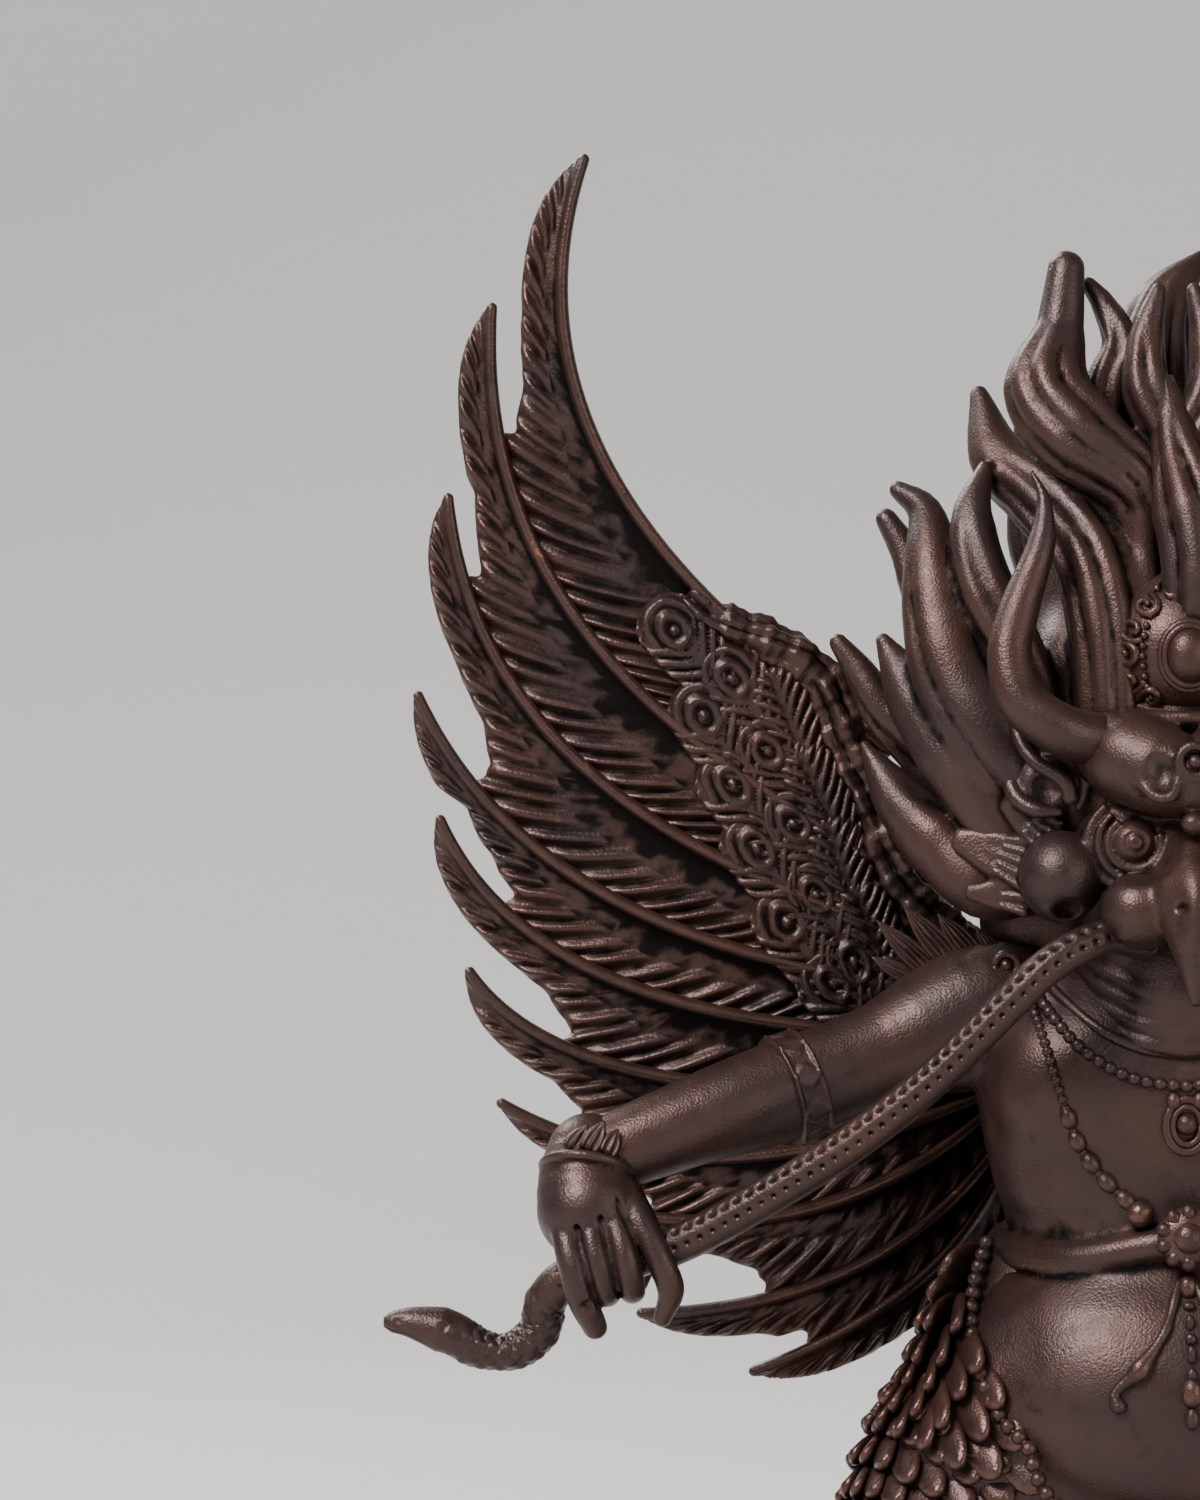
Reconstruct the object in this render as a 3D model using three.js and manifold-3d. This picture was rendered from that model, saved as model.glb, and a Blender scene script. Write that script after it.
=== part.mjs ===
// Garuda, the winged bird deity, as a small dark copper casting: a squat figure with flame hair and
// horns bites a snake that it holds in both hands. Two feathered wings are cast apart and seated on a
// flat pad across its back, and the bird feet stand on a low lotus plinth.
// Millimetres, +Z up, the figure faces -Y, origin at the middle of the plinth's underside.

import * as THREE from "three";
import { mergeVertices } from "three/addons/utils/BufferGeometryUtils.js";
import Module from "manifold-3d";

const wasm = await Module();
wasm.setup();

// Driving sizes, in millimetres.
const FIGURE_HEIGHT = 113.1; // soles to the highest wing tip
const PLINTH_HEIGHT = 12;
const PLINTH_MARGIN = 8; // from the widest toe, and from the tail's tip, out to the plinth's foot
const PLINTH_FOOT = 2.4; // height of the plain band round the plinth's underside
const PETAL_COUNT = 16;
const PETAL_BULGE = 1.4; // how far a petal's middle stands out of the gap beside it
const SEAT_GAP = 0.3; // between pieces that are cast apart and seated on each other
const LUG_THICKNESS = 2.1; // of the lug by which a wing is fixed to the back
const WING_THICKNESS = 1.3; // of the plate that carries the feathers
const QUILL_RISE = 0.7; // how far a quill stands out of its feather
const SNAKE_DIAMETER = 2.4;
const TOE_LENGTH = 8.5;
const TOE_SPREAD = 34; // degrees between two front toes

// The figure keeps its proportions: its places and limb sizes are drawn in millimetres outwards from
// the middle, back from the feet and up from the soles, on a figure of this height.
const DRAWN_HEIGHT = 113.1;
const scale = FIGURE_HEIGHT / DRAWN_HEIGHT;
const RIGHT = -1; // the figure's right hand is on the -X side
const LEFT = 1;
const at = (x, y, z) => new THREE.Vector3(x, y, z).multiplyScalar(scale);
const route = (side, points) => points.map(([x, y, z]) => at(side * x, y, z));

const radians = THREE.MathUtils.degToRad;
const bothSides = (make) => [RIGHT, LEFT].flatMap(make);
const ring = (sides, place) =>
  Array.from({ length: sides }, (_, i) => place((2 * Math.PI * i) / sides));

// The value at a share of the way along a short list of values.
function along(values, share) {
  const place = share * (values.length - 1);
  const i = Math.min(Math.floor(place), values.length - 2);
  return THREE.MathUtils.lerp(values[i], values[i + 1], place - i);
}

// A closed solid that faces outwards, whichever way its rings ran.
function solidOf(geometry) {
  const bare = geometry.clone();
  bare.deleteAttribute("normal");
  bare.deleteAttribute("uv");
  const merged = mergeVertices(bare, 1e-4);
  const vertProperties = new Float32Array(merged.attributes.position.array);
  const triVerts = new Uint32Array(merged.index.array);
  const corner = (i) => new THREE.Vector3().fromArray(vertProperties, 3 * triVerts[i]);
  let volume = 0;
  for (let i = 0; i < triVerts.length; i += 3)
    volume += corner(i).dot(corner(i + 1).cross(corner(i + 2)));
  if (volume < 0)
    for (let i = 0; i < triVerts.length; i += 3)
      [triVerts[i], triVerts[i + 1]] = [triVerts[i + 1], triVerts[i]];
  return new wasm.Manifold(new wasm.Mesh({ numProp: 3, vertProperties, triVerts }));
}

// A solid through rings of equal length, flat at both ends; a ring of one point is a tip.
function lofted(rings) {
  const faces = [];
  let start = 0;
  rings.slice(1).forEach((next, k) => {
    const [below, above] = [rings[k].length, next.length];
    const top = start + below;
    const count = Math.max(below, above);
    for (let i = 0; i < count; i++) {
      const j = (i + 1) % count;
      if (below > 1) faces.push([start + i, start + j, top + (above > 1 ? i : 0)]);
      if (above > 1) faces.push([start + (below > 1 ? j : 0), top + j, top + i]);
    }
    start = top;
  });
  const fan = (first, count, turn) => {
    for (let i = 1; i < count - 1; i++)
      faces.push(turn ? [first, first + i + 1, first + i] : [first, first + i, first + i + 1]);
  };
  fan(0, rings[0].length, true);
  fan(start, rings[rings.length - 1].length, false);
  const geometry = new THREE.BufferGeometry().setFromPoints(rings.flat());
  geometry.setIndex(faces.flat());
  return solidOf(geometry);
}

// A round limb along a smooth path; girths are its radii along the path, and a last girth of 0 is a
// tip. Oval limbs are flattened by `flat` in one direction across the path.
function limb(path, girths, { sides = 6, steps = 4, flat = 1 } = {}) {
  const curve = new THREE.CatmullRomCurve3(path);
  const { normals, binormals } = curve.computeFrenetFrames(steps);
  return lofted(
    Array.from({ length: steps + 1 }, (_, k) => {
      const centre = curve.getPointAt(k / steps);
      const girth = scale * along(girths, k / steps);
      if (girth === 0) return [centre];
      return ring(sides, (angle) =>
        centre
          .clone()
          .addScaledVector(normals[k], girth * Math.cos(angle))
          .addScaledVector(binormals[k], girth * flat * Math.sin(angle)),
      );
    }),
  );
}

// A round boss, with its radii across, back and up.
function ball([x, y, z], [across, back, up], around = 8, rows = 5) {
  const geometry = new THREE.SphereGeometry(scale, around, rows);
  geometry.rotateX(Math.PI / 2);
  geometry.scale(across, back, up);
  geometry.translate(scale * x, scale * y, scale * z);
  return solidOf(geometry);
}

// A block between two corners.
function block(low, high) {
  const size = high.clone().sub(low);
  const middle = low.clone().add(high).multiplyScalar(0.5);
  return solidOf(new THREE.BoxGeometry(...size).translate(...middle));
}

// A small leaf feather that lies on a surface facing `outwards`, with a raised midrib and a point.
const LEAF_WIDTHS = [0.6, 1, 0];
const LEAF_EDGE = 0.3; // how high its edges stand, as a share of the midrib's rise
const LEAF_SINK = 0.8; // how deep a leaf's back lies in what carries it
function leaf(base, tip, halfWidth, rise, outwards) {
  const length = tip.clone().sub(base);
  const out = outwards.clone().normalize();
  const across = length.clone().cross(out).normalize();
  const last = LEAF_WIDTHS.length - 1;
  return lofted(
    LEAF_WIDTHS.map((width, k) => {
      const middle = base.clone().addScaledVector(length, k / last);
      const half = scale * halfWidth * width;
      if (half === 0) return [middle];
      const corner = (side, height) =>
        middle.clone().addScaledVector(across, side * half).addScaledVector(out, scale * height);
      const edge = LEAF_EDGE * rise;
      return [corner(-1, edge), corner(0, rise), corner(1, edge), corner(0, -LEAF_SINK)];
    }),
  );
}

// Where solids are joined, their seam is full of slivers. This draws each edge shorter than
// SEAM_BLEND together to its middle, unless that would fold the skin.
const SEAM_BLEND = 0.35;
function blendSeams(solid) {
  const { vertProperties, triVerts } = solid.getMesh();
  const points = Array.from({ length: vertProperties.length / 3 }, (_, i) =>
    new THREE.Vector3().fromArray(vertProperties, 3 * i),
  );
  const faces = Array.from({ length: triVerts.length / 3 }, (_, f) =>
    Array.from(triVerts.slice(3 * f, 3 * f + 3)),
  );
  const facesAt = points.map(() => new Set());
  faces.forEach((face, f) => face.forEach((v) => facesAt[v].add(f)));

  const neighbours = (v) => new Set([...facesAt[v]].flatMap((f) => faces[f]));
  const facing = (a, b, c) => b.clone().sub(a).cross(c.clone().sub(a)).normalize();
  function draw(a, b) {
    const near = neighbours(b);
    const shared = [...neighbours(a)].filter((v) => near.has(v) && v !== a && v !== b);
    if (shared.length !== 2) return false;
    const middle = points[a].clone().lerp(points[b], 0.5);
    const folds = [...facesAt[a], ...facesAt[b]].some((f) => {
      const face = faces[f];
      if (face.includes(a) && face.includes(b)) return false;
      const before = facing(...face.map((v) => points[v]));
      const after = facing(...face.map((v) => (v === a || v === b ? middle : points[v])));
      return before.dot(after) < 0.2;
    });
    if (folds) return false;
    for (const f of [...facesAt[b]]) {
      if (faces[f].includes(a)) faces[f].forEach((v) => facesAt[v].delete(f));
      else {
        faces[f] = faces[f].map((v) => (v === b ? a : v));
        facesAt[a].add(f);
      }
    }
    facesAt[b].clear();
    points[a] = middle;
    return true;
  }

  for (let drawn = true; drawn; ) {
    drawn = false;
    const edges = [];
    facesAt.forEach((around, a) => {
      if (around.size === 0) return;
      for (const b of neighbours(a)) {
        const length = points[a].distanceTo(points[b]);
        if (a < b && length < SEAM_BLEND) edges.push({ a, b, length });
      }
    });
    edges.sort((one, other) => one.length - other.length);
    for (const { a, b } of edges) {
      if (facesAt[a].size === 0 || facesAt[b].size === 0) continue;
      if (!neighbours(a).has(b) || points[a].distanceTo(points[b]) >= SEAM_BLEND) continue;
      drawn = draw(a, b) || drawn;
    }
  }
  const kept = faces.filter((_, f) => faces[f].some((v) => facesAt[v].has(f)));
  const skin = new THREE.BufferGeometry().setFromPoints(kept.flat().map((v) => points[v]));
  return solidOf(skin);
}

// One casting of many solids, with blended seams; pockets that they seal between them are filled.
function cast(solids) {
  const shells = wasm.Manifold.union(solids).decompose();
  return blendSeams(wasm.Manifold.union(shells.filter((shell) => shell.volume() > 0)));
}

// The wings stand behind the shoulders: this is how far back their face lies at a distance from the
// middle. It runs back to the lug on the figure's back and is nearly flat at the feather tips.
const BACK_PAD = { inner: 1.5, outer: 9, back: 8.6, low: 46, high: 59.5 };
const WING_TIP_BACK = 3;
const wingLug = {
  inner: BACK_PAD.inner / 2,
  outer: BACK_PAD.outer,
  front: BACK_PAD.back * scale + SEAT_GAP,
};
const wingBack = (x) => {
  const root = (wingLug.front + LUG_THICKNESS / 2) / scale - WING_TIP_BACK;
  return WING_TIP_BACK + root * Math.exp(-Math.max(0, x - wingLug.outer) / 6);
};
const onWing = (x, z) => at(RIGHT * x, wingBack(x), z);

// The ten flight feathers, from the highest to the lowest: root, bend and tip, out and up, then how
// wide the vane is 10 mm back from the tip.
const FLIGHT_FEATHERS = [
  { root: [24.2, 80.6], bend: [42.1, 95.2], tip: [36.4, 113.1], breadth: 3 },
  { root: [26, 73.2], bend: [43.8, 84.7], tip: [42.4, 103.4], breadth: 3 },
  { root: [24.5, 66.7], bend: [43.8, 74.8], tip: [45.2, 91.4], breadth: 2.8 },
  { root: [23.5, 61.7], bend: [41.5, 65.9], tip: [47.2, 78.9], breadth: 2.8 },
  { root: [22, 57.7], bend: [41.1, 59.8], tip: [45.8, 71.1], breadth: 3.1 },
  { root: [20, 53.7], bend: [39, 53.6], tip: [44, 61.5], breadth: 2.8 },
  { root: [14, 52.2], bend: [31, 46.4], tip: [42.1, 53.1], breadth: 2.6 },
  { root: [11, 52], bend: [22.3, 43], tip: [36.5, 46.5], breadth: 3.2 },
  { root: [10, 50], bend: [18.4, 39.7], tip: [33.3, 39.7], breadth: 2.8 },
  { root: [10, 48], bend: [14.4, 40], tip: [26.2, 35.9], breadth: 2.8 },
];
const VANE_GROWTH = 0.6; // a vane widens as this power of the way back from the tip
const VANE_LIMIT = 4.8; // widest vane
const VANE_TILT = 0.3; // how far a vane leans back behind the next feather's quill

// A flight feather: its quill runs along the outer edge and the vane hangs inwards and down from it.
// Each quill lies in front of the vane of the feather above it.
function flightFeather({ root, bend, tip, breadth }) {
  const curve = new THREE.QuadraticBezierCurve(
    new THREE.Vector2(...root),
    new THREE.Vector2(...bend),
    new THREE.Vector2(...tip),
  );
  const length = curve.getLength();
  const quill = QUILL_RISE / scale;
  const back = WING_THICKNESS / scale / 2;
  const shares = [0, 0.4, 0.66, 0.84, 0.95];
  const rings = shares.map((share) => {
    const middle = curve.getPointAt(share);
    const way = curve.getTangentAt(share);
    const vane = Math.min(VANE_LIMIT, breadth * ((length * (1 - share)) / 10) ** VANE_GROWTH);
    const corner = (across, lift) => {
      const x = middle.x + way.y * across;
      const z = middle.y - way.x * across;
      return at(RIGHT * x, wingBack(x) - lift, z);
    };
    return [
      corner(-0.4, quill),
      corner(1.1, VANE_TILT / 2),
      corner(vane, -VANE_TILT),
      corner(vane, -VANE_TILT - back),
      corner(-0.5, VANE_TILT - back),
    ];
  });
  return lofted([...rings, [onWing(tip[0], tip[1])]]);
}

// The small feathers that cover the roots: a place and the way out of the wing's bone for each row.
const COVERTS = [
  [32.4, 84.0], [29.9, 78.4], [28.3, 74.3], [26.8, 70.5], [24.5, 66.0], [22.0, 61.6],
  [26.4, 79.6], [25.2, 75.5], [23.6, 71.7], [21.7, 67.0], [19.7, 63.5],
];
const COVERT = { length: 5.6, halfWidth: 2.1, rise: 1.1, droop: 25 };
function covert([x, z]) {
  const droop = radians(COVERT.droop);
  const [dx, dz] = [(COVERT.length / 2) * Math.cos(droop), (COVERT.length / 2) * Math.sin(droop)];
  const base = onWing(x - dx, z + dz);
  const tip = onWing(x + dx, z - dz);
  return leaf(base, tip, COVERT.halfWidth, COVERT.rise, new THREE.Vector3(0, -1, 0));
}

// The plate that the feathers part from, between the gaps at their tips and the wing's bone: its lower
// and upper edge at places outwards.
const PLATE = [
  { out: 9, low: 46.4, high: 59 },
  { out: 13, low: 42.5, high: 63.8 },
  { out: 17.5, low: 40, high: 68 },
  { out: 19.5, low: 39.5, high: 76 },
  { out: 22.3, low: 39, high: 81.5 },
  { out: 25, low: 42.6, high: 83.2 },
  { out: 32, low: 47, high: 87.5 },
  { out: 36, low: 52.4, high: 91.5 },
  { out: 38.5, low: 60, high: 93.5 },
  { out: 41, low: 65.6, high: 94.6 },
  { out: 42.7, low: 74, high: 85.6 },
];
const PLATE_FACE = 0.05; // how far the plate's face lies in front of the wing's own depth
function wingPlate() {
  const half = WING_THICKNESS / 2;
  return lofted(
    PLATE.map(({ out, low, high }) => {
      const corner = (z, back) => onWing(out, z).add(new THREE.Vector3(0, back, 0));
      return [corner(low, -PLATE_FACE), corner(high, -PLATE_FACE), corner(high, half), corner(low, half)];
    }),
  );
}

// The wing's bone: a lumpy roll along the inner edge, from behind the shoulder up to the bend.
const WING_BONE = [
  [11.5, 62.5], [15.5, 66.0], [18.2, 71.5], [19.4, 77.0], [21.6, 81.0], [25.0, 83.4], [29.5, 84.4],
];
const BONE_GIRTHS = [1.1, 1.8, 1.2, 1.8, 1.2, 1.8, 1.2, 1.7, 1];

function wing() {
  const lugBack = wingLug.front + LUG_THICKNESS;
  const lug = block(
    new THREE.Vector3(-wingLug.outer * scale - LUG_THICKNESS / 2, wingLug.front, BACK_PAD.low * scale),
    new THREE.Vector3(-wingLug.inner * scale, lugBack, BACK_PAD.high * scale),
  );
  const bone = WING_BONE.map(([x, z]) => onWing(x, z));
  return cast([
    lug,
    wingPlate(),
    ...FLIGHT_FEATHERS.map(flightFeather),
    ...COVERTS.map(covert),
    limb(bone, BONE_GIRTHS, { sides: 5, steps: BONE_GIRTHS.length - 1 }),
  ]);
}

// The core of the figure from the hips over belly, chest, neck and skull to the top of the hair: half
// widths, half depths and how far back each ring's middle lies. The belly rolls out under a fold.
const CORE = [
  { up: 24, wide: 7, deep: 8, back: -1 },
  { up: 30, wide: 12, deep: 11.4, back: -1.6 },
  { up: 35.5, wide: 13.2, deep: 11, back: -2.2 },
  { up: 39.5, wide: 12.3, deep: 10.4, back: -2.2 },
  { up: 43.2, wide: 10.4, deep: 8.6, back: -1.6 },
  { up: 44.6, wide: 10.1, deep: 8.2, back: -1.1 },
  { up: 50, wide: 11.4, deep: 9, back: -1 },
  { up: 56, wide: 12.2, deep: 9.2, back: -1.2 },
  { up: 60, wide: 11, deep: 8, back: -1 },
  { up: 63.5, wide: 6.8, deep: 6.4, back: -2 },
  { up: 69, wide: 8.4, deep: 8.2, back: -3 },
  { up: 74, wide: 9.3, deep: 9.2, back: -2.6 },
  { up: 80, wide: 8.8, deep: 8.4, back: -1.4 },
  { up: 88, wide: 7.8, deep: 6.6, back: 0 },
  { up: 95, wide: 4.6, deep: 4, back: 0.6 },
  { up: 99, wide: 1.6, deep: 1.6, back: 1 },
];
const CORE_SIDES = 12;
function core() {
  const pad = BACK_PAD;
  return [
    lofted(
      CORE.map(({ up, wide, deep, back }) =>
        ring(CORE_SIDES, (a) => at(wide * Math.cos(a), back + deep * Math.sin(a), up)),
      ),
    ),
    block(at(-pad.outer, 0, pad.low), at(pad.outer, pad.back, pad.high)),
  ];
}

// The bird's mask: a hooked beak, and on each side a brow, an eye, a round cheek and an ear.
function head() {
  const beak = route(LEFT, [[0, -9, 68], [0, -13.5, 66.8], [0, -15.2, 63.2], [0, -15.2, 59.7]]);
  return [
    limb(beak, [5.2, 4.6, 2.8, 0], { sides: 7, steps: 4 }),
    ...bothSides((side) => [
      limb(route(side, [[0.4, -12.4, 72.8], [3, -12.2, 74.2], [6.5, -10.6, 74.2], [8.2, -8, 72.4]]),
        [1, 1.5, 1.7, 0.9], { sides: 5, steps: 3 }),
      ball([side * 3.1, -10.9, 69.8], [2.2, 1.8, 2], 7, 4),
      ball([side * 7, -8.6, 67.2], [3.1, 3, 2.9], 7, 5),
      limb(route(side, [[7.2, -8.6, 70.8], [9.2, -8.4, 73.2], [10.2, -7.6, 76.9]]), [1.5, 1.9, 0],
        { sides: 4, steps: 2 }),
    ]),
  ];
}

// Tufts of fur behind the cheek: foot, point.
const TUFTS = [
  [[8.4, -6, 71], [13.2, -6.4, 70.2]],
  [[7, -6.4, 67], [10.6, -7.6, 62.8]],
];
function tufts(side) {
  return TUFTS.map((ends) => {
    const [base, tip] = route(side, ends);
    return leaf(base, tip, 1.5, 1, new THREE.Vector3(side, -2, 0));
  });
}

// The locks of flame hair on one side, from beside the ear to the crown: path and girths.
const SIDE_LOCKS = [
  { path: [[9, -4, 66], [13, -4.6, 68.3], [17, -3, 72.1], [19.4, -2, 75.6]], girths: [2, 2.1, 1.7, 0] },
  { path: [[9, -5, 69.5], [13.1, -5, 73.7], [15.9, -3, 78], [18.1, -2, 82.6]], girths: [2, 2.2, 1.7, 0] },
  { path: [[8, -1.5, 69], [13.5, -1, 74.5], [18.6, -0.6, 79], [20.8, 0, 82.4]], girths: [1.6, 1.6, 1.3, 0] },
  { path: [[8.5, -5.4, 73], [13.2, -5, 79], [14.8, -3.4, 85.5], [17, -1, 92]], girths: [2.6, 2.7, 2.3, 0] },
  { path: [[7, 1, 76], [13.4, 1, 83], [17.6, 1.6, 89.9]], girths: [1.6, 1.4, 0] },
  { path: [[8, -5.6, 78], [11.6, -6, 84.4], [12.6, -5, 89], [11.8, -4, 93]], girths: [1.9, 1.9, 1.4, 0] },
  { path: [[3.6, -8, 80.5], [5.8, -6.4, 87.6], [10.2, -1.6, 92.4], [12, 0, 98]], girths: [2, 2.3, 1.8, 0] },
  { path: [[1.8, -6, 91], [6, -5, 94.8], [8, -4, 98.8], [6.6, -3, 105.6]], girths: [2, 2.7, 2.7, 0.9] },
  { path: [[4.2, -2.4, 96], [3.9, -1.6, 100.5], [5, -1, 104.6]], girths: [1.5, 1.3, 0.6] },
  { path: [[0.6, -6, 92.5], [1.9, -5, 98], [1.1, -4, 104]], girths: [1.7, 1.5, 0] },
];
// The locks that stand in the middle: the tall flame behind and the drop-shaped one in front.
const MIDDLE_LOCKS = [
  { path: [[0, 1, 92], [-0.2, 1, 99], [2.2, 3, 106.6]], girths: [2.9, 2.5, 0] },
  { path: [[0, -8.6, 83], [0, -8.8, 88.5], [-0.6, -6.4, 98.4]], girths: [2.4, 3.2, 0] },
];
// The locks behind the head, plainer: one side's, and the one in the middle.
const BACK_LOCKS = [
  { path: [[4, 3, 66], [6.4, 5.4, 70.5], [8.8, 5.4, 77]], girths: [2.4, 2.2, 0] },
  { path: [[5, 3, 72], [9.6, 5.4, 80.5], [12.4, 4.6, 90]], girths: [3, 2.8, 0] },
  { path: [[3, 4, 80], [7, 6.4, 88], [8.6, 5, 98]], girths: [2.8, 2.6, 0] },
];
const BACK_MIDDLE_LOCK = { path: [[0, 5, 76], [0, 8, 87], [0, 5.4, 98]], girths: [3, 3.4, 0] };
function hair() {
  const lock = (side, { path, girths }) =>
    limb(route(side, path), girths, { sides: 5, steps: path.length });
  return [
    ...[...MIDDLE_LOCKS, BACK_MIDDLE_LOCK].map((item) => lock(RIGHT, item)),
    ...bothSides((side) => [...SIDE_LOCKS, ...BACK_LOCKS].map((item) => lock(side, item))),
  ];
}

// The horns curl out from the brow and up in front of the hair.
const HORN = [[3, -10.6, 74.6], [7.8, -12, 76.4], [10.4, -11.4, 79.6], [9, -10, 86.5], [9.4, -9, 92.2]];
const HORN_GIRTHS = [1.6, 1.6, 1.4, 1.2, 0.9, 0];

// The crown's front: a pointed leaf of filigree with a round stone set in it.
function crown() {
  return [
    leaf(at(0, -10.6, 76.4), at(0, -10.2, 86.8), 4.2, 1.4, new THREE.Vector3(0, -1, 0)),
    ball([0, -11.4, 80.4], [2.2, 1.6, 2.2], 7, 4),
  ];
}

// The arm reaches out and down to the fist, and swells at the armlet and at the bracelet.
const ARM = [[9, -1, 60], [17, -2.5, 56.9], [23.2, -4, 54.5], [29.5, -6, 52.5], [36.4, -7.2, 50.2]];
const ARM_GIRTHS = [4, 4, 3.5, 3.1, 3.8, 3, 3.1, 2.8, 3.3];
const FINGERS = [
  { path: [[32.8, -8.6, 48.4], [31.9, -10.6, 44.6], [31.6, -9, 40.4]], girth: 1.25 },
  { path: [[34.2, -9, 48], [33.8, -11.4, 44.6], [33.4, -10, 41.6]], girth: 1.2 },
  { path: [[35.6, -9, 48], [35.3, -11.2, 44.4], [35, -10, 41.6]], girth: 1.15 },
  { path: [[36.8, -8.6, 47.8], [36.8, -10.6, 43.8], [35.9, -9, 39.8]], girth: 1.1 },
];
function arm(side) {
  return [
    limb(route(side, ARM), ARM_GIRTHS, { sides: 6, steps: ARM_GIRTHS.length - 1 }),
    ball([side * 35, -8, 47.2], [3, 2.5, 3.8], 6, 4),
    ...FINGERS.map(({ path, girth }) =>
      limb(route(side, path), [girth, girth, girth * 0.8], { sides: 4, steps: 2 }),
    ),
  ];
}

// Pointed feathers that stand up behind the shoulder.
const SHOULDER_LEAVES = [
  [[13.5, 0, 58.5], [18, 0.4, 61.4]],
  [[12.6, 0, 59.2], [17.2, 0.8, 64.4]],
  [[11.2, 0, 60], [14.6, 1.2, 65.4]],
];
function shoulderLeaves(side) {
  return SHOULDER_LEAVES.map((ends) => {
    const [base, tip] = route(side, ends);
    return leaf(base, tip, 1.3, 0.8, new THREE.Vector3(0, -1, 0));
  });
}

// The snake hangs from the beak to the fist and runs on out to its blunt head.
const SNAKE = [
  [0, -13.4, 62.8], [8.6, -13.6, 62.3], [15.7, -13.2, 55.3], [25.9, -11.4, 48],
  [33.5, -10.2, 44], [38, -7.6, 42.6], [39.4, -6.4, 39.4], [42.2, -6, 37.9], [45.2, -6, 39.6],
];
const SNAKE_HEAD = { centre: [46.8, -6, 40], radii: [2.6, 1.7, 1.5] };
function snake(side) {
  const girth = SNAKE_DIAMETER / 2 / scale;
  const [x, y, z] = SNAKE_HEAD.centre;
  return [
    limb(route(side, SNAKE), [girth, girth, girth], { sides: 5, steps: 11 }),
    ball([side * x, y, z], SNAKE_HEAD.radii, 6, 4),
  ];
}

// Jewellery: a collar with a drop, a round medallion under it, and a bead string round the belly.
const COLLAR = [[0, -10.6, 54.6], [3.5, -10.2, 55.6], [7.4, -7.8, 58.8], [10.4, -3, 61.6]];
const BELLY_STRING = [[0, -12.4, 28.4], [6, -11.8, 29.6], [10.8, -8.2, 33], [12.2, -2.6, 39.4]];
function jewellery() {
  return [
    ball([0, -10.8, 52.8], [1.4, 0.9, 1.9], 6, 4),
    ball([0, -9.6, 46.2], [2.4, 1, 2.4], 7, 3),
    ...bothSides((side) => [
      limb(route(side, COLLAR), [1.1, 1.1, 1, 0.8], { sides: 4, steps: 3 }),
      limb(route(side, BELLY_STRING), [0.9, 0.9], { sides: 4, steps: 4 }),
    ]),
  ];
}

// The leg: a bare shank and a bird's foot under the feathered thigh.
const SHANK = [[16.6, -3.4, 18], [15.6, -2, 9], [15, -1.6, 1.6]];
const SHANK_GIRTHS = [3.4, 2.3, 2.2];
const TOE_GIRTHS = [1.9, 1.6, 0];
const FOOT_TURN = 14; // degrees that a foot points outwards
const toeLength = TOE_LENGTH / scale;

// The point that a toe reaches at an angle outwards from straight ahead.
function toeTip(angle, share) {
  const [x, y] = SHANK[SHANK.length - 1];
  const reach = share * toeLength;
  return [x + reach * Math.sin(radians(angle)), y - reach * Math.cos(radians(angle)), 0.1];
}
function leg(side) {
  const [x, y, ankle] = SHANK[SHANK.length - 1];
  const toe = (angle, share) => {
    const path = [[x, y, ankle], [...toeTip(angle, 0.55 * share).slice(0, 2), 1.5], toeTip(angle, share)];
    return limb(route(side, path), TOE_GIRTHS, { sides: 4, steps: 3 });
  };
  return [
    limb(route(side, SHANK), SHANK_GIRTHS, { sides: 6, steps: 2 }),
    ...[-1, 0, 1].map((i) => toe(FOOT_TURN + i * TOE_SPREAD, 1)),
    toe(FOOT_TURN + 180, 0.6),
  ];
}

// The thigh, down to the bent knee, in tiers of rounded feathers: each tier swells out to a scalloped
// edge and steps back in under it.
const THIGH = [[6, 0, 36], [12, -1.6, 28], [16, -3.6, 20.6], [16.6, -3.4, 14]];
const THIGH_GIRTHS = [8, 8.2, 6.6, 3.2];
const THIGH_TIERS = 4;
const TIER = { feathers: 6, swell: 1, scallop: 0.6, drop: 2.4 };
function thigh(side) {
  const curve = new THREE.CatmullRomCurve3(route(side, THIGH));
  const around = 2 * TIER.feathers;
  const tierRing = (share, swell, drop, turn) => {
    const centre = curve.getPointAt(share);
    const way = curve.getTangentAt(share);
    const across = new THREE.Vector3(0, 1, 0).cross(way).normalize();
    const deep = way.clone().cross(across);
    return ring(around, (angle) => {
      const tip = (1 + Math.cos(TIER.feathers * angle + Math.PI * turn)) / 2;
      const girth = scale * (along(THIGH_GIRTHS, share) + swell - TIER.scallop * (1 - tip));
      return centre
        .clone()
        .addScaledVector(across, girth * Math.cos(angle))
        .addScaledVector(deep, girth * Math.sin(angle))
        .addScaledVector(way, scale * drop * tip);
    });
  };
  const rings = Array.from({ length: THIGH_TIERS }, (_, tier) => [
    tierRing(tier / THIGH_TIERS, 0, 0, tier),
    tierRing((tier + 0.8) / THIGH_TIERS, TIER.swell, TIER.drop, tier),
  ]).flat();
  return [lofted(rings)];
}

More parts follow.
